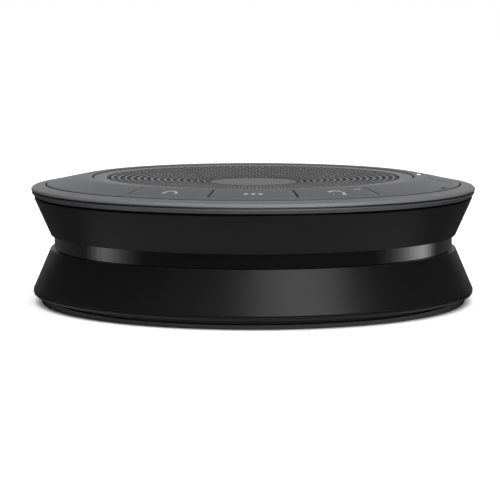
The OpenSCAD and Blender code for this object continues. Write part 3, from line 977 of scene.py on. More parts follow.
@dataclass
class SubAssembly:
    """Some pieces that are built and dressed together; made holds them in order."""

    made: list[bpy.types.Object] = field(default_factory=list)

    def piece(self, name: str, mesh: bpy.types.Mesh, finish: Finish, body: str, slot: str,
              nodes: Sequence[str] = (), sharp: float = 35.0) -> bpy.types.Object:
        """Finishes one piece.

        Args:
            name: the piece's name.
            mesh: its mesh, in place.
            finish: what it is made of.
            body: the CAD body that it moves with.
            slot: the record's material slot; not used.
            nodes: the CAD nodes that it stands for.
            sharp: edges above this angle, in degrees, are shaded sharp.

        Returns:
            The object.
        """
        mesh.materials.clear()
        mesh.materials.append(finish.material())
        mesh.polygons.foreach_set("material_index", [0] * len(mesh.polygons))
        thing = new_object(name, mesh, sharp)
        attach(thing, body)
        if nodes:
            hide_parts(*nodes)
        self.made.append(thing)
        return thing

    def dress_node(self, node: str, finish: Finish) -> None:
        """Gives a CAD node that keeps its shape its finish."""
        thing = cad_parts[node]
        thing.data.materials.clear()
        thing.data.materials.append(finish.material())
        self.made.append(thing)

    def build(self) -> None:
        """Makes every piece; each sub-assembly has its own."""
        raise NotImplementedError


@dataclass
class PanelForm:
    """Heights and edges of the convex control panel and of the keys in it, in millimetres."""

    inner: float = 43.7
    outer: float = 55.75
    crown: float = 46.0
    thickness: float = 1.3
    skirt: float = 0.7
    deck: float = 27.2
    foot: float = 30.6
    key_inner: float = 47.1
    key_outer: float = 53.8
    power_inner: float = 47.3
    key_angle: float = 24.0
    slot_angle: float = 0.62
    key_gap: float = 0.05
    mic_bearings: tuple[float, float] = (65.4, 245.4)
    mic_inner: float = 54.3
    mic_outer: float = 55.0
    mic_half: float = 1.89     # degrees

    def top(self, r: float) -> float:
        """Height of the upper face at a radius."""
        fall = 0.16 * max(r - self.crown, 0) ** 1.1 + 0.03 * max(self.crown - r, 0) ** 2
        return high("control_panel").z - fall

    def under(self, r: float) -> float:
        """Height of the lower face at a radius, with the inner skirt and the outer foot."""
        if r <= self.inner + self.skirt:
            return self.deck
        return self.foot if r >= 54.5 else self.top(r) - self.thickness

    def windows(self) -> list[tuple[float, float, float, float]]:
        """Each key window as inner radius, outer radius, first and last bearing."""
        half = (self.key_angle + self.slot_angle) / 2
        front = (Keys.CALL.bearing - half, Keys.END.bearing + half)
        rear = (Keys.VOLUME_DOWN.bearing - half, Keys.VOLUME_UP.bearing + half)
        power = (Keys.POWER.bearing - half, Keys.POWER.bearing + half)
        return [(self.key_inner, self.key_outer, *front), (self.key_inner, self.key_outer, *rear),
                (self.power_inner, self.key_outer, *power)]

    def grid_radii(self) -> list[float]:
        """Radii of the panel's grid."""
        return [
            self.inner, self.inner + self.skirt, 45.0, 46.0, self.key_inner, self.power_inner, 48.2,
            49.2, 50.2, 51.2, 52.2, 53.0, self.key_outer, self.mic_inner, 54.5, self.mic_outer, 55.4,
            self.outer,
        ]

    def grid_bearings(self) -> list[float]:
        """Bearings of the panel's grid: an even division plus the edges of every opening."""
        edges = [e % 360 for w in self.windows() for e in w[2:]]
        edges += [(m + side * self.mic_half) % 360 for m in self.mic_bearings for side in (-1, 1)]
        even = [360 * i / 240 for i in range(240)]
        clear = [e for e in even if all(abs((e - k + 180) % 360 - 180) > 0.5 for k in edges)]
        return sorted(edges + clear)

    def solid(self, r: float, bearing: float) -> bool:
        """Whether the panel has material about a radius and bearing."""
        for r0, r1, b0, b1 in self.windows():
            if r0 < r < r1 and 0 < (bearing - b0) % 360 < b1 - b0:
                return False
        near_mic = any(abs((bearing - m + 180) % 360 - 180) < self.mic_half for m in self.mic_bearings)
        return not (near_mic and self.mic_inner < r < self.mic_outer)


@dataclass
class TopSide(SubAssembly):
    """Top ring, side band, control panel and the lamp in it."""

    form: PanelForm = field(default_factory=PanelForm)
    seam: float = 0.42       # gap between the panel and the ring
    edge: float = 0.8        # radius of the ring's outer edge
    groove: float = 2.2      # depth of the shadow groove over the band
    pad_size: tuple[float, float, float] = (0.62, 3.45, 0.2)     # of the mesh in a microphone slot
    pad_height: float = 31.0

    def build(self) -> None:
        """Makes the ring, the band, the panel, the microphone mesh and the lamp."""
        rim = high("top_ring").x
        ring_low = high("side_band").z
        inner = self.form.outer + self.seam
        shoulder = (rim - self.edge, ring_low + 0.03)
        ring = [
            (inner, 31.66), (inner + 0.04, 31.75), (inner + 0.14, 31.8), (57.6, 31.6), (58.8, 31.35),
            *arc(shoulder, self.edge, 75, 0, 12), (rim - 0.08, ring_low),
            (57.1, ring_low), (57.1, 29.2), (54.4, 29.2), (54.4, 30.6), (inner, 30.6),
        ]
        self.piece("top_ring_skin", lathe(ring), GRAPHITE, HOUSING, "graphite_plastic", ["top_ring"])
        low_z = low("side_band").z
        wall = high("side_band").x
        top = ring_low - 0.45
        band = fillet([
            (57.2, low_z, 0), (59.2, low_z, 0.12), (wall, top - 0.3, 0.1), (wall - 0.1, top, 0.08),
            (wall - self.groove, top, 0), (wall - self.groove, ring_low, 0), (57.2, ring_low, 0),
        ])
        self.piece("side_band_skin", lathe(band), BAND_GREY, HOUSING, "band_plastic", ["side_band"])
        form = self.form
        plate = polar_shell(form.grid_radii(), form.grid_bearings(), form.top, form.under, form.solid,
                            closed=True)
        self.piece("control_panel_skin", bevelled(plate, 0.05), GRAPHITE, HOUSING, "graphite_plastic",
                   ["control_panel"])
        slot = (form.mic_inner + form.mic_outer) / 2
        mesh_pads = [placed(rounded_block(self.pad_size, (0, 0, self.pad_height), 0.05), bearing, slot)
                     for bearing in form.mic_bearings]
        self.piece("microphone_mesh", joined(mesh_pads), CLOTH, HOUSING, "acoustic_cloth")
        self.lamp()

    def lamp(self) -> None:
        """The domed light guide, and the lamp under it."""
        foot, tip = low("light_guide"), high("light_guide")
        middle = (foot + tip) / 2
        radius = (tip.x - foot.x) / 2
        rod = fillet([(0, foot.z, 0), (radius, foot.z, 0.05), (radius, tip.z, 0.2), (0, tip.z, 0)])
        mesh = lathe(rod, 32)
        mesh.transform(Matrix.Translation((middle.x * MM, middle.y * MM, 0)))
        self.piece("light_guide_lens", mesh, LAMP, HOUSING, "lamp_white", ["light_guide"])
        self.dress_node("status_led", LAMP)


@dataclass
class KeySet(SubAssembly):
    """The push keys and the prints on them."""

    form: PanelForm = field(default_factory=PanelForm)
    lip: float = 0.5
    print_height: float = 0.035
    print_radius: float = 50.8
    cap_depth: float = 0.5       # how far the cap reaches below the lip's top
    lip_depth: float = 0.55
    stem: float = 1.2
    stem_at: float = 50.0        # distance of the stem from the middle

    def build(self) -> None:
        """Makes every key, then its print."""
        prints = {
            Keys.CALL: self.receiver(0.0),
            Keys.MENU: self.dots(3),
            Keys.END: self.receiver(-42.0, 1.15) + self.rays() + self.pips(),
            Keys.POWER: self.power_mark(),
            Keys.VOLUME_DOWN: self.bar(0.0),
            Keys.MUTE: self.crossed_out(),
            Keys.VOLUME_UP: self.bar(0.0) + self.bar(90.0),
        }
        for key in Keys:
            cap, support = self.key(key)
            self.piece(key.node + "_cap", cap, KEY_GRAPHITE, key.node, "key_plastic", [key.node])
            self.piece(key.node + "_frame", support, SATIN_BLACK, key.node, "black_plastic")
            mark = joined([self.laid(outline, key) for outline in prints[key]])
            self.piece(key.node + "_print", mark, PRINT, key.node, "lamp_white")

    def key(self, key: Keys) -> tuple[bpy.types.Mesh, bpy.types.Mesh]:
        """One key: the painted cap, and the black frame with its lip and stem."""
        form = self.form
        inner = form.power_inner if key is Keys.POWER else form.key_inner
        half = (form.key_angle - form.slot_angle) / 2
        steps = 16
        bearings = [key.bearing - half + 2 * half * i / steps for i in range(steps + 1)]
        r0, r1 = inner + form.key_gap, form.key_outer - form.key_gap
        radii = [r0 + (r1 - r0) * i / 8 for i in range(9)]
        lip_top = form.thickness + 0.05
        floor = lip_top + self.cap_depth
        cap = bevelled(polar_shell(radii, bearings, form.top, lambda r: form.top(r) - floor,
                                   lambda r, b: True), 0.05)
        wide = [inner - self.lip + (form.key_outer - inner + 2 * self.lip) * i / 6 for i in range(7)]
        lips = polar_shell(wide, bearings, lambda r: form.top(r) - lip_top,
                           lambda r: form.top(r) - lip_top - self.lip_depth, lambda r, b: True)
        foot, stem_top = low(key.node).z, form.top(self.stem_at) - form.thickness
        stem = lathe(fillet([(0, foot, 0), (self.stem, foot, 0.2), (self.stem, stem_top, 0),
                             (0, stem_top, 0)], 3), 32)
        support = joined([bevelled(lips, 0.05, segments=1), placed(stem, key.bearing, self.stem_at)])
        return cap, support

    def laid(self, outline: Sequence[Point], key: Keys) -> bpy.types.Mesh:
        """A flat outline laid on a key's upper face.

        Args:
            outline: counter-clockwise, x along the key and y towards the middle of the panel.
            key: the key that carries it.

        Returns:
            A thin print that follows the face.
        """
        mesh = extruded(outline, -0.05, self.print_height)
        middle = self.print_radius + (1.0 if key is Keys.POWER else 0.0)
        for v in mesh.vertices:
            x, y, z = v.co / MM
            r = middle - y
            a = math.radians(key.bearing - 90) + x / middle
            v.co = Vector((r * math.cos(a), r * math.sin(a), self.form.top(r) + z)) * MM
        return mesh

    @staticmethod
    def turned(outline: Sequence[Point], angle: float, shift: Point = (0.0, 0.0)) -> list[Point]:
        """An outline turned by an angle in degrees, then moved."""
        c, s = math.cos(math.radians(angle)), math.sin(math.radians(angle))
        return [(c * x - s * y + shift[0], s * x + c * y + shift[1]) for x, y in outline]

    @classmethod
    def stroke(cls, width: float, height: float, angle: float = 0.0,
               shift: Point = (0.0, 0.0)) -> list[Point]:
        """A rounded bar."""
        x, y, r = width / 2, height / 2, min(width, height) * 0.45
        return cls.turned(fillet([(-x, -y, r), (x, -y, r), (x, y, r), (-x, y, r)]), angle, shift)

    @classmethod
    def bow(cls, radius: float, width: float, start: float, end: float, turn: float = 0.0) -> list[Point]:
        """A curved bar of an arc."""
        outer = arc((0, 0), radius + width / 2, start, end, 14)
        inner = arc((0, 0), radius - width / 2, end, start, 14)
        return cls.turned(outer + inner, turn)

    def receiver(self, turn: float, size: float = 1.0) -> list[list[Point]]:
        """A plain telephone receiver: a bowed grip with an ear pad and a mouth pad."""
        grip = self.bow(1.75, 0.5, 28, 152)
        pads = [self.stroke(0.9, 1.3, side * 24, (side * 1.62, 0.18)) for side in (-1, 1)]
        scaled = [[(x * size, y * size) for x, y in part] for part in (grip, *pads)]
        return [self.turned(part, turn, (0, -0.5)) for part in scaled]

    def rays(self) -> list[list[Point]]:
        """Two short dashes either side of the receiver."""
        return [self.stroke(0.95, 0.4, 45, (-1.25, -1.35)), self.stroke(0.95, 0.4, 45, (1.45, 1.35))]

    def pips(self) -> list[list[Point]]:
        """Two small marks by the key's outer edge."""
        return [self.disc(0.36, (x, 1.6)) for x in (6.6, 7.8)]

    @staticmethod
    def disc(radius: float, middle: Point) -> list[Point]:
        """A round dot."""
        return arc(middle, radius, 0, 337.5, 15)

    def dots(self, count: int) -> list[list[Point]]:
        """A row of dots."""
        pitch = 1.8
        return [self.disc(0.6, ((i - (count - 1) / 2) * pitch, 0)) for i in range(count)]

    def power_mark(self) -> list[list[Point]]:
        """A broken ring with a bar through its gap."""
        return [self.bow(1.35, 0.4, 125, 415), self.stroke(0.4, 1.5, 0, (0, 1.15))]

    def bar(self, turn: float) -> list[list[Point]]:
        """A plain bar, half of a plus sign."""
        return [self.stroke(2.8, 0.5, turn)]

    def crossed_out(self) -> list[list[Point]]:
        """A microphone with a bar across it."""
        return [self.stroke(1.1, 2.2, 0, (0, 0.5)), self.bow(1.15, 0.35, 200, 340),
                self.stroke(0.35, 1.0, 0, (0, -1.5)), self.stroke(4.2, 0.4, 45)]


@dataclass
class Grille(SubAssembly):
    """The dished grille with its rings of holes, and the cloth under it."""

    first_ring: int = 7
    last_ring: int = 22
    pitch: float = 1.777
    hole: float = 0.76
    flat: float = 11.5
    slope_end: float = 39.1
    dish: float = 1.5            # depth of the smooth middle under the rim
    slope_rise: float = 1.3      # rise from the middle to the end of the slope
    thickness: float = 0.9
    centre_edge: float = 11.45
    disc_ring: float = 6.0       # a ring of points inside the smooth middle
    border_edge: float = 40.6
    hole_sides: int = 12

    def tree(self) -> GeometryTree:
        """A plate between two circles with rings of round holes; ring n has 6n holes, a pitch apart."""
        t = GeometryTree(
            "perforated_field",
            {
                "First Ring": ("Int", 7), "Last Ring": ("Int", 22), "Pitch": ("Float", 0.0018),
                "Hole Radius": ("Float", 0.0005), "Hole Sides": ("Int", 12),
                "Inner Radius": ("Float", 0.011), "Outer Radius": ("Float", 0.041),
                "Thickness": ("Float", 0.001), "Flat Radius": ("Float", 0.0115),
                "Flat Height": ("Float", 0.032), "Slope": ("Float", 0.047), "Material": ("Material", None),
            },
        )
        at = t.inputs.outputs
        before = [t.times(t.times(3.0, at[n]), t.plus(at[n], d))
                  for n, d in (("First Ring", -1.0), ("Last Ring", 1.0))]
        number = t.plus(t.add("InputIndex").outputs[0], before[0])
        root = t.math("SQRT", t.plus(t.times(number, 4.0 / 3.0), 1.0))
        ring = t.math("FLOOR", t.math("DIVIDE", t.plus(root, 1.0002), 2.0))
        start = t.times(t.times(3.0, ring), t.minus(ring, 1.0))
        turn = t.math("DIVIDE", t.minus(number, start), t.times(ring, 6.0))
        angle = t.times(turn, math.tau)
        reach = t.times(ring, at["Pitch"])
        place = t.combine(t.times(reach, t.math("COSINE", angle)),
                          t.times(reach, t.math("SINE", angle)), 0.0)
        count = t.minus(before[1], before[0])
        points = t.add("Points", Count=count, Position=place).outputs[0]
        hole = t.add("CurvePrimitiveCircle", Resolution=at["Hole Sides"], Radius=at["Hole Radius"])
        copies = t.add("InstanceOnPoints", Points=points, Instance=hole.outputs[0])
        holes = t.add("RealizeInstances", Geometry=copies.outputs[0])
        rims = [t.add("CurvePrimitiveCircle", Resolution=n, Radius=at[r]).outputs[0]
                for n, r in ((TURN // 2, "Inner Radius"), (TURN, "Outer Radius"))]
        join = t.add("JoinGeometry")
        for part in (*rims, holes.outputs[0]):
            t.tree.links.new(part, join.inputs[0])
        plate = t.add("FillCurve", Curve=join.outputs[0]).outputs[0]
        lift = t.combine(0.0, 0.0, 1.0)
        raised = t.add("ExtrudeMesh", Mesh=plate, Offset=lift, Offset_Scale=at["Thickness"],
                       Individual=False)
        where = t.add("ShaderNodeSeparateXYZ", Vector=t.add("InputPosition").outputs[0]).outputs
        radius = t.reach(where[0], where[1])
        beyond = t.math("GREATER_THAN", radius, t.minus(at["Outer Radius"], 0.0001))
        within = t.math("LESS_THAN", radius, t.plus(at["Inner Radius"], 0.0001))
        side = t.times(raised.outputs["Side"], t.plus(beyond, within))
        trimmed = t.add("DeleteGeometry", {"domain": "FACE"}, Geometry=raised.outputs[0],
                        Selection=side).outputs[0]
        under = t.add("FlipFaces", Mesh=plate).outputs[0]
        both = t.add("JoinGeometry")
        for part in (trimmed, under):
            t.tree.links.new(part, both.inputs[0])
        welded = t.add("MergeByDistance", Geometry=both.outputs[0], Distance=1e-7).outputs[0]
        past = t.math("MAXIMUM", t.minus(radius, at["Flat Radius"]), 0.0)
        rise = t.plus(t.minus(at["Flat Height"], at["Thickness"]),
                      t.times(past, at["Slope"]))
        dished = t.add("SetPosition", Geometry=welded, Offset=t.combine(0.0, 0.0, rise)).outputs[0]
        t.finish(dished)
        return t

    def build(self) -> None:
        """Makes the perforated grille, and dresses the cloth."""
        slope = self.slope_rise / (self.slope_end - self.flat)
        flat_h = high("grille").z - self.dish
        base = bpy.data.meshes.new("empty")
        perforated = self.tree().run(
            base,
            {
                "First Ring": self.first_ring, "Last Ring": self.last_ring, "Pitch": self.pitch * MM,
                "Hole Radius": self.hole * MM, "Hole Sides": self.hole_sides,
                "Inner Radius": self.centre_edge * MM, "Outer Radius": self.border_edge * MM,
                "Thickness": self.thickness * MM, "Flat Radius": self.flat * MM, "Flat Height": flat_h * MM,
                "Slope": slope, "Material": PUNCHED.material(),
            },
        )
        edge_h = flat_h + slope * (self.border_edge - self.flat)
        rim, rim_top = high("grille").x, high("grille").z
        disc = (self.centre_edge, self.disc_ring, 0.0)
        centre = self.open_lathe([(r, flat_h) for r in disc],
                                 [(r, flat_h - self.thickness) for r in reversed(disc)], TURN // 2)
        border = self.open_lathe(
            [(self.border_edge, edge_h - self.thickness), (rim - 0.9, edge_h - self.thickness),
             (rim - 0.9, low("grille").z), (rim, low("grille").z), (rim, rim_top - 0.25),
             (rim - 0.07, rim_top - 0.08), (rim - 0.25, rim_top)],
            [(42.0, (edge_h + rim_top) / 2 + 0.02), (self.border_edge, edge_h)], TURN)
        whole = joined([perforated, centre, border], weld=2e-6)
        self.piece("grille_plate", whole, PUNCHED, HOUSING, "graphite_plastic", ["grille"], sharp=30)
        self.dress_node("grille_cloth", CLOTH)

    @staticmethod
    def open_lathe(first: Sequence[Point], second: Sequence[Point], turn: int) -> bpy.types.Mesh:
        """A lathe of an outline that is left open between its last point and its first."""
        mesh = lathe([*first, *second], turn)
        ends = (first[0][0], second[-1][0])
        bm = bmesh.new()
        bm.from_mesh(mesh)
        gone = [f for f in bm.faces
                if all(min(abs(math.hypot(v.co.x, v.co.y) / MM - e) for e in ends) < 1e-4 for v in f.verts)]
        bmesh.ops.delete(bm, geom=gone, context="FACES")
        bm.to_mesh(mesh)
        bm.free()
        return mesh


@dataclass
class Shells(SubAssembly):
    """Both shells, the glossy waist between them, the base plate, the foot and the socket's mouth."""

    waist: float = 53.9
    slope: float = 0.43
    wall: float = 1.8
    flange_in: float = 37.0
    lip_in: float = 53.0
    rim_low: float = 3.55
    boss: float = 2.6
    socket_height: float = 11.6
    socket_size: tuple[float, float] = (8.94, 3.2)
    mouth_gap: float = 0.35
    recess: float = 30.0
    counterbore: float = 2.3
    base_screw_radius: float = 48.5
    foot_height: float = 1.1
    foot_rise: float = 0.0254
    foot_width: float = 4.8
    lip_rise: float = 2.3        # height of the foot's lip at the sides
    treads: int = 3
    band_core: tuple[float, float, float] = (44.0, 15.6, 17.5)   # inner radius, bottom and top

    def upper_r(self, h: float) -> float:
        """Radius of the upper cone at a height."""
        return self.waist + 0.95 + (self.slope + 0.012) * (h - high("waist_band").z)

    def lower_r(self, h: float) -> float:
        """Radius of the lower cone at a height."""
        return self.waist + 1.0 + self.slope * (low("waist_band").z - h)

    def bosses(self, bearing: float, radius: float, z0: float, z1: float) -> bpy.types.Mesh:
        """Four screw bosses, a quarter turn apart."""
        tube = [(0.51, z0), (self.boss, z0), (self.boss, z1), (0.51, z1)]
        return RingOfPieces.make(lathe(tube, 24), 4, radius, bearing, 0.0, SATIN_BLACK.material())

    def build(self) -> None:
        """Makes the shells from the top down."""
        self.upper()
        self.lower()
        self.band()
        self.underside()

    def band(self) -> None:
        """The glossy waist: a straight band, set back between the edges of the shells."""
        r, bottom, top = self.waist, low("waist_band").z, high("waist_band").z
        core, core_low, core_high = self.band_core
        outline = [
            (core, core_low), (self.lip_in, core_low), (self.lip_in, bottom), (r - 0.05, bottom),
            (r, bottom + 0.05), (r, (bottom + top) / 2), (r, top - 0.05), (r - 0.05, top),
            (self.lip_in, top), (self.lip_in, core_high), (core, core_high),
        ]
        self.piece("waist_band_skin", lathe(outline), GLOSS_BLACK, HOUSING, "gloss_band", ["waist_band"],
                   sharp=30)

    def upper(self) -> None:
        """The upper shell."""
        top, bottom = high("upper_shell").z, low("upper_shell").z
        lip, edge = top - 0.5, high("waist_band").z
        outline = fillet([
            (self.flange_in, bottom, 0), (self.lip_in, bottom, 0), (self.lip_in, edge, 0),
            (self.upper_r(edge), edge, 0.12), (self.upper_r(lip), lip, 0.12), (58.2, lip, 0), (58.2, top, 0),
            (56.9, top, 0), (56.9, top - 1.1, 0), (self.upper_r(20.3) - self.wall, 20.3, 0), (52, 19.1, 0),
            (self.flange_in, 19.1, 0),
        ])
        bosses = [self.bosses(45, 40, 19.05, 25.55), self.bosses(20, 47, 19.05, 25.55)]
        self.piece("upper_shell_skin", joined([lathe(outline), *bosses]), SATIN_BLACK, HOUSING,
                   "black_plastic", ["upper_shell"])

    def lower(self) -> None:
        """The lower shell, with the mouth of the charging socket cut through it at the rear."""
        bottom, top = low("lower_shell").z, high("lower_shell").z
        edge, rim = low("waist_band").z, self.lower_r(self.rim_low)
        outline = fillet([
            (self.flange_in, 14, 0), (self.flange_in, top, 0), (self.lip_in, top, 0), (self.lip_in, edge, 0),
            (self.lower_r(edge), edge, 0.12), (rim, self.rim_low, 0.06),
            (rim - 0.33, self.rim_low - 0.05, 0), (rim - 0.33, self.rim_low - 0.25, 0),
            (rim - 0.03, self.rim_low - 0.3, 0.08), (rim - 0.03, 2.85, 0.3), (rim - 0.2, 2.5, 0.2),
            (rim - 0.5, bottom, 0.1), (56.6, bottom, 0), (56.6, 3.1, 0), (55.0, 3.1, 0), (55.0, 4.6, 0),
            (self.lower_r(5.8) - self.wall, 5.8, 0), (self.lower_r(12.8) - self.wall, 12.8, 0), (52, 14, 0),
        ])
        shell = carved(lathe(outline), self.mouth(self.mouth_gap, 50, 62))
        posts = [self.bosses(45, self.base_screw_radius, 3.15, 14.05), self.bosses(65, 40.5, 10.05, 14.05)]
        self.piece("lower_shell_skin", joined([shell, *posts]), SATIN_BLACK, HOUSING, "black_plastic",
                   ["lower_shell"], sharp=30)

    def mouth(self, gap: float, start: float, end: float) -> bpy.types.Mesh:
        """A rounded slot along Y, as large as the socket plus a gap on each side."""
        x, z = self.socket_size[0] / 2 + gap, self.socket_size[1] / 2 + gap
        outline = fillet([(-x, -z, z), (x, -z, z), (x, z, z), (-x, z, z)], 8)
        bar = extruded(outline, start, end)
        lift = Matrix.Translation((0, 0, self.socket_height * MM))
        bar.transform(lift @ Matrix.Rotation(-math.pi / 2, 4, "X"))
        return bar

    def underside(self) -> None:
        """The base plate and the rubber foot."""
        bottom, top = low("base_plate").z, high("base_plate").z
        edge = high("base_plate").x
        plate = [(0, bottom + 0.3), (self.recess - 0.05, bottom + 0.3), (self.recess, bottom + 0.25),
                 (self.recess, bottom + 0.05), (self.recess + 0.05, bottom), (edge, bottom), (edge, top),
                 (0, top)]
        bore = lathe([(0, bottom - 1), (self.counterbore, bottom - 1), (self.counterbore, bottom + 1.0),
                      (1.25, bottom + 1.0), (1.25, top + 1), (0, top + 1)], 32)
        bores = RingOfPieces.make(bore, 4, self.base_screw_radius, 45, 0.0, SATIN_BLACK.material())
        drilled = bevelled(carved(lathe(plate), bores), 0.08, angle=60)
        self.piece("base_plate_skin", drilled, SATIN_BLACK, HOUSING, "black_plastic", ["base_plate"])
        self.piece("foot_ring_skin", self.foot(), FOOT_RUBBER, HOUSING, "foot_rubber", ["foot_ring"])
        self.dress_node("usb_socket", TINNED)

    def foot(self) -> bpy.types.Mesh:
        """The rubber foot: a treaded ring with a lip that rises towards the rear and closes on the shell."""
        rim, top = high("foot_ring").x, high("foot_ring").z
        inner = rim - self.foot_width
        treads: list[Point] = []
        for i in range(self.treads):
            at = inner + 1.0 + i * 1.15
            treads += [(at, 0), (at + 0.08, 0.16), (at + 0.38, 0.16), (at + 0.46, 0)]
        flat = self.foot_height
        outline = [(inner, 0.2), (inner + 0.2, 0), *treads, (rim - 0.25, 0), (rim - 0.07, 0.07),
                   (rim, 0.25), (rim, flat - 0.1), (rim, top - 0.08), (rim - 0.08, top),
                   (rim - 0.7, top), (rim - 0.7, flat), (inner, flat)]
        mesh = lathe(outline)
        for v in mesh.vertices:
            if v.co.z > (flat + 0.05) * MM:
                rise = (self.lip_rise + self.foot_rise * v.co.y / MM) * MM
                v.co.z = max((flat + 0.01) * MM, min(v.co.z, rise))
        return mesh


@dataclass(frozen=True)
class ScrewSet:
    """One ring of four screws: its CAD node, where it is and which way the heads face."""

    node: str
    radius: float
    bearing: float
    heads_down: bool
    head_radius: float = 1.9
    head_height: float = 1.0
    seed: int = 1


@dataclass
class Screws(SubAssembly):
    """Every ring of cross-head screws."""

    shank: float = 1.0
    thread_pitch: float = 0.45
    sets: tuple[ScrewSet, ...] = (
        ScrewSet("chassis_screws", 40.0, 45.0, False, seed=3),
        ScrewSet("shell_screws", 47.0, 20.0, True, seed=5),
        ScrewSet("board_screws", 40.5, 65.0, True, seed=7),
        ScrewSet("base_screws", 48.5, 45.0, True, head_height=0.9, seed=11),
        ScrewSet("speaker_screws", 28.7, 45.0, False, head_radius=1.6, seed=13),
    )

    def build(self) -> None:
        """Makes each ring."""
        for ring in self.sets:
            bottom, top = low(ring.node).z, high(ring.node).z
            length = top - bottom - ring.head_height
            seat = bottom + ring.head_height if ring.heads_down else top - ring.head_height
            mesh = RingOfPieces.make(
                self.screw(ring.head_radius, ring.head_height, length), 4, ring.radius, ring.bearing, seat,
                STEEL.material(), tilt=180.0 if ring.heads_down else 0.0, loose=80.0, seed=ring.seed,
            )
            self.piece(ring.node + "_set", mesh, STEEL, HOUSING, "steel", [ring.node])

    def screw(self, head: float, height: float, length: float) -> bpy.types.Mesh:
        """One screw with its seat at the origin and its head up.

        Args:
            head: radius of its head.
            height: of its head.
            length: under the head.

        Returns:
            The mesh.
        """
        turns = int(length / self.thread_pitch)
        thread: list[Point] = []
        for i in range(turns):
            z = -length + 0.3 + i * self.thread_pitch * (length - 0.6) / (turns * self.thread_pitch)
            thread += [(self.shank - 0.22, z), (self.shank, z + self.thread_pitch * 0.4)]
        outline = [(0, -length), (self.shank - 0.3, -length), *thread, (self.shank - 0.1, -0.15),
                   (self.shank, 0), (head, 0), (head, height * 0.4), (head * 0.9, height * 0.72),
                   (head * 0.7, height * 0.95), (head * 0.5, height), (0, height)]
        body = lathe(outline, 24)
        for size in ((head * 1.1, head * 0.28), (head * 0.28, head * 1.1)):
            body = carved(body, rounded_block((*size, height), (0, 0, height * 0.85), 0.04, 1))
        return body


@dataclass
class InnerParts(SubAssembly):
    """Parts inside that keep their CAD shape: only their finishes are set."""

    finishes: tuple[tuple[str, Finish], ...] = ()

    def build(self) -> None:
        """Dresses the nodes."""
        for node, finish in self.finishes:
            self.dress_node(node, finish)


@dataclass
class Speaker(InnerParts):
    """The loudspeaker under the grille, and the chassis that holds it."""

    finishes: tuple[tuple[str, Finish], ...] = (
        ("chassis", SATIN_BLACK), ("speaker_frame", BLACK_STEEL), ("speaker_gasket", FOAM),
        ("surround", SOFT_RUBBER), ("cone", PULP), ("dust_cap", PULP), ("voice_coil", COPPER),
        ("spider", SPIDER_CLOTH), ("top_plate", STEEL), ("magnet", FERRITE), ("yoke", STEEL),
        ("wire_grommet", SOFT_RUBBER), ("speaker_wires", SLEEVE_RED),
    )


@dataclass
class Electronics(InnerParts):
    """Boards, microphones, switches, battery and their joining parts."""

    finishes: tuple[tuple[str, Finish], ...] = (
        ("key_board", BOARD), ("main_board", BOARD), ("key_switches", CHIP), ("mic_boots", SOFT_RUBBER),
        ("mic_capsules", TINNED), ("shield_can", TINNED), ("board_chips", CHIP), ("board_connectors", NYLON),
        ("key_ribbon", FILM), ("battery", FOIL), ("battery_pad", FOAM), ("battery_lead", SLEEVE_RED),
    )


# ---------------------------------------------------------------- studio

@dataclass(frozen=True)
class Softbox:
    """An even rectangular light that faces the object and is hidden from the camera."""

    name: str
    azimuth: float       # from the front, towards the right
    elevation: float
    distance: float
    width: float
    height: float
    radiance: float

    def place(self, aim: Vector) -> bpy.types.Object:
        """Adds the light."""
        data = bpy.data.lights.new(self.name, "AREA")
        data.shape = "RECTANGLE"
        data.size = self.width
        data.size_y = self.height
        data.energy = self.radiance * math.pi * self.width * self.height
        thing = linked(self.name, data)
        a, e = math.radians(self.azimuth - 90), math.radians(self.elevation)
        out = Vector((math.cos(a) * math.cos(e), math.sin(a) * math.cos(e), math.sin(e)))
        thing.location = aim + out * self.distance
        thing.rotation_euler = out.to_track_quat("Z", "Y").to_euler()
        thing.visible_camera = False
        return thing


@dataclass(frozen=True)
class Glow:
    """A row of upright strips close to one side, brightest in its middle and fading both ways."""

    name: str
    azimuth: float       # of the brightest strip
    outer: float         # degrees over which it fades towards the back
    inner: float         # degrees over which it fades towards the front
    peak: float
    step: float = 4.0
    distance: float = 0.114
    elevation: float = 6.0
    height: float = 0.048
    half_count: int = 9          # strips on each side of the brightest one
    faintest: float = 0.03       # share of the peak under which a strip is left out

    def strips(self) -> list[Softbox]:
        """The strips that are bright enough to matter."""
        made = []
        width = self.distance * math.radians(self.step)
        for i in range(-self.half_count, self.half_count + 1):
            fade = self.outer if i * self.step * self.outer > 0 else self.inner
            share = math.exp(-((i * self.step / fade) ** 2))
            if share > self.faintest:
                name = f"{self.name}_{i + self.half_count}"
                made.append(Softbox(name, self.azimuth + i * self.step, self.elevation, self.distance,
                                    width, self.height, self.peak * share))
        return made


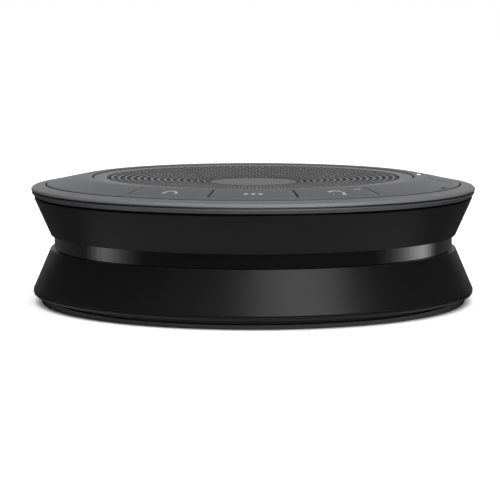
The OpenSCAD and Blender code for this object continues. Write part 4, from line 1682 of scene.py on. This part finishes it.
@dataclass
class Studio:
    """Camera, pale floor, world and lights."""

    distance: float = 0.5831
    elevation: float = 6.39
    aim_height: float = 0.01337
    lens: float = 154.08
    shift: float = -0.0064
    ambient: float = 0.05
    floor_light: float = 3.6
    sun_angle: float = 120.0
    near_floor: float = 0.2
    far_floor: float = 0.03
    floor_reach: float = 6.0     # half the floor's side, in metres
    floor_drop: float = 0.02     # millimetres under the foot
    boxes: tuple[Softbox, ...] = (
        Softbox("key_box", 27, 38, 1.1, 0.80, 0.45, 2.8),
        Softbox("top_box", 0, 86, 1.1, 1.2, 1.0, 2.6),
        Softbox("back_wall", 180, 10, 1.6, 1.7, 0.5, 0.7),
    )
    rim_boxes: tuple[Softbox, ...] = (
        Softbox("rim_box", 12, 5, 1.1, 1.8, 0.6, 5.0),
    )
    waist_glow: tuple[Glow, ...] = (
        Glow("left_glow", -72.5, -8.0, 12.0, 1.33),
        Glow("right_glow", 88.0, 8.0, -15.5, 2.5),
    )

    def build(self, waist: bpy.types.Object, rim: Sequence[bpy.types.Object]) -> None:
        """Makes everything in the studio.

        Args:
            waist: the glossy band, which alone is lit by the strips at the sides.
            rim: the ring and the band under it, which alone are lit by the low front box.
        """
        aim = Vector((0, 0, self.aim_height))
        self.camera(aim)
        floor = self.floor()
        self.world()
        for box in self.boxes:
            box.place(aim)
        for glow in self.waist_glow:
            for box in glow.strips():
                self.only_for(box.place(aim), waist)
        for box in self.rim_boxes:
            self.only_for(box.place(aim), *rim)
        self.only_for(self.overhead(), floor)
        bpy.context.scene.view_settings.view_transform = "Standard"

    @staticmethod
    def only_for(light: bpy.types.Object, *things: bpy.types.Object) -> None:
        """Makes a light shine on these objects only."""
        only = bpy.data.collections.new(light.name + "_only")
        for thing in things:
            only.objects.link(thing)
        light.light_linking.receiver_collection = only

    def camera(self, aim: Vector) -> None:
        """The camera, level from side to side, looking a little down on the front."""
        data = bpy.data.cameras.new("camera")
        data.lens = self.lens
        data.sensor_width = 36
        data.shift_x = self.shift
        data.clip_start = 0.01
        thing = linked("camera", data)
        e = math.radians(self.elevation)
        out = Vector((0, -math.cos(e), math.sin(e)))
        thing.location = aim + out * self.distance
        thing.rotation_euler = out.to_track_quat("Z", "Y").to_euler()
        bpy.context.scene.camera = thing

    def floor(self) -> bpy.types.Object:
        """A wide white floor with a dim reflection for the object, not seen from below."""
        side = self.floor_reach / MM
        signs = ((-1, -1), (1, -1), (1, 1), (-1, 1))
        mesh = mesh_of([(x * side, y * side, -self.floor_drop) for x, y in signs], [[0, 1, 2, 3]])
        made = bpy.data.materials.new("floor_white")
        made.use_nodes = True
        bench = NodeBench(made.node_tree)
        shader = made.node_tree.nodes["Principled BSDF"]
        seen = bench.add("LightPath").outputs["Is Camera Ray"]
        at = bench.add("TexCoord").outputs["Object"]
        cloud = bench.add("TexNoise", Vector=at, Scale=30.0, Detail=2.0).outputs[0]
        tone = bench.spread(cloud, 0, 1, 0.88, 0.9)
        white = bench.add("CombineColor", Red=tone, Green=tone, Blue=tone).outputs[0]
        x, y, _ = bench.add("SeparateXYZ", Vector=at).outputs
        reach = bench.reach(x, y)
        close = bench.spread(reach, 0.062, 0.068, 2 * self.near_floor, self.near_floor)
        card = bench.spread(reach, 0.082, 0.098, close, self.far_floor)
        card = bench.spread(y, -0.035, -0.012, card, self.far_floor)
        dim = bench.add("CombineColor", Red=card, Green=card, Blue=card).outputs[0]
        bench.feed(shader.inputs["Base Color"], bench.mix(seen, dim, white))
        below = bench.add("NewGeometry").outputs["Backfacing"]
        bench.feed(shader.inputs["Alpha"], bench.minus(1.0, below))
        shader.inputs["Roughness"].default_value = 0.8
        shader.inputs["Specular IOR Level"].default_value = 0.1
        mesh.materials.append(made)
        floor = linked("floor", mesh)
        return floor

    def world(self) -> None:
        """A white surround, dimmer as a light than it looks."""
        world = bpy.data.worlds.new("surround")
        world.use_nodes = True
        tree = world.node_tree
        tree.nodes.clear()
        bench = NodeBench(tree)
        seen = bench.add("LightPath").outputs["Is Camera Ray"]
        dim = bench.add("Background", Color=(1.0, 1.0, 1.0), Strength=self.ambient)
        bright = bench.add("Background", Color=(1.0, 1.0, 1.0), Strength=1.0)
        both = bench.add("MixShader", i0=seen, i1=dim.outputs[0], i2=bright.outputs[0])
        out = tree.nodes.new("ShaderNodeOutputWorld")
        tree.links.new(both.outputs[0], out.inputs[0])
        bpy.context.scene.world = world

    def overhead(self) -> bpy.types.Object:
        """A very soft overhead sun, so that the floor is white with a soft contact shadow."""
        data = bpy.data.lights.new("floor_sun", "SUN")
        data.energy = self.floor_light
        data.angle = math.radians(self.sun_angle)
        return linked("floor_sun", data)


# ---------------------------------------------------------------- main

def main() -> None:
    """Builds every sub-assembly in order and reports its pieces."""
    logging.basicConfig(level=logging.INFO, format="%(message)s")
    shells, top_side = Shells(), TopSide()
    for part in (top_side, KeySet(), Grille(), shells, Screws(), Speaker(), Electronics()):
        part.build()
        for piece in part.made:
            LOG.info("%s: %s, %d faces", type(part).__name__, piece.name, len(piece.data.polygons))
    waist = next(p for p in shells.made if p.name == "waist_band_skin")
    Studio().build(waist, [p for p in top_side.made if p.name in ("top_ring_skin", "side_band_skin")])


if __name__ == "__main__":
    main()
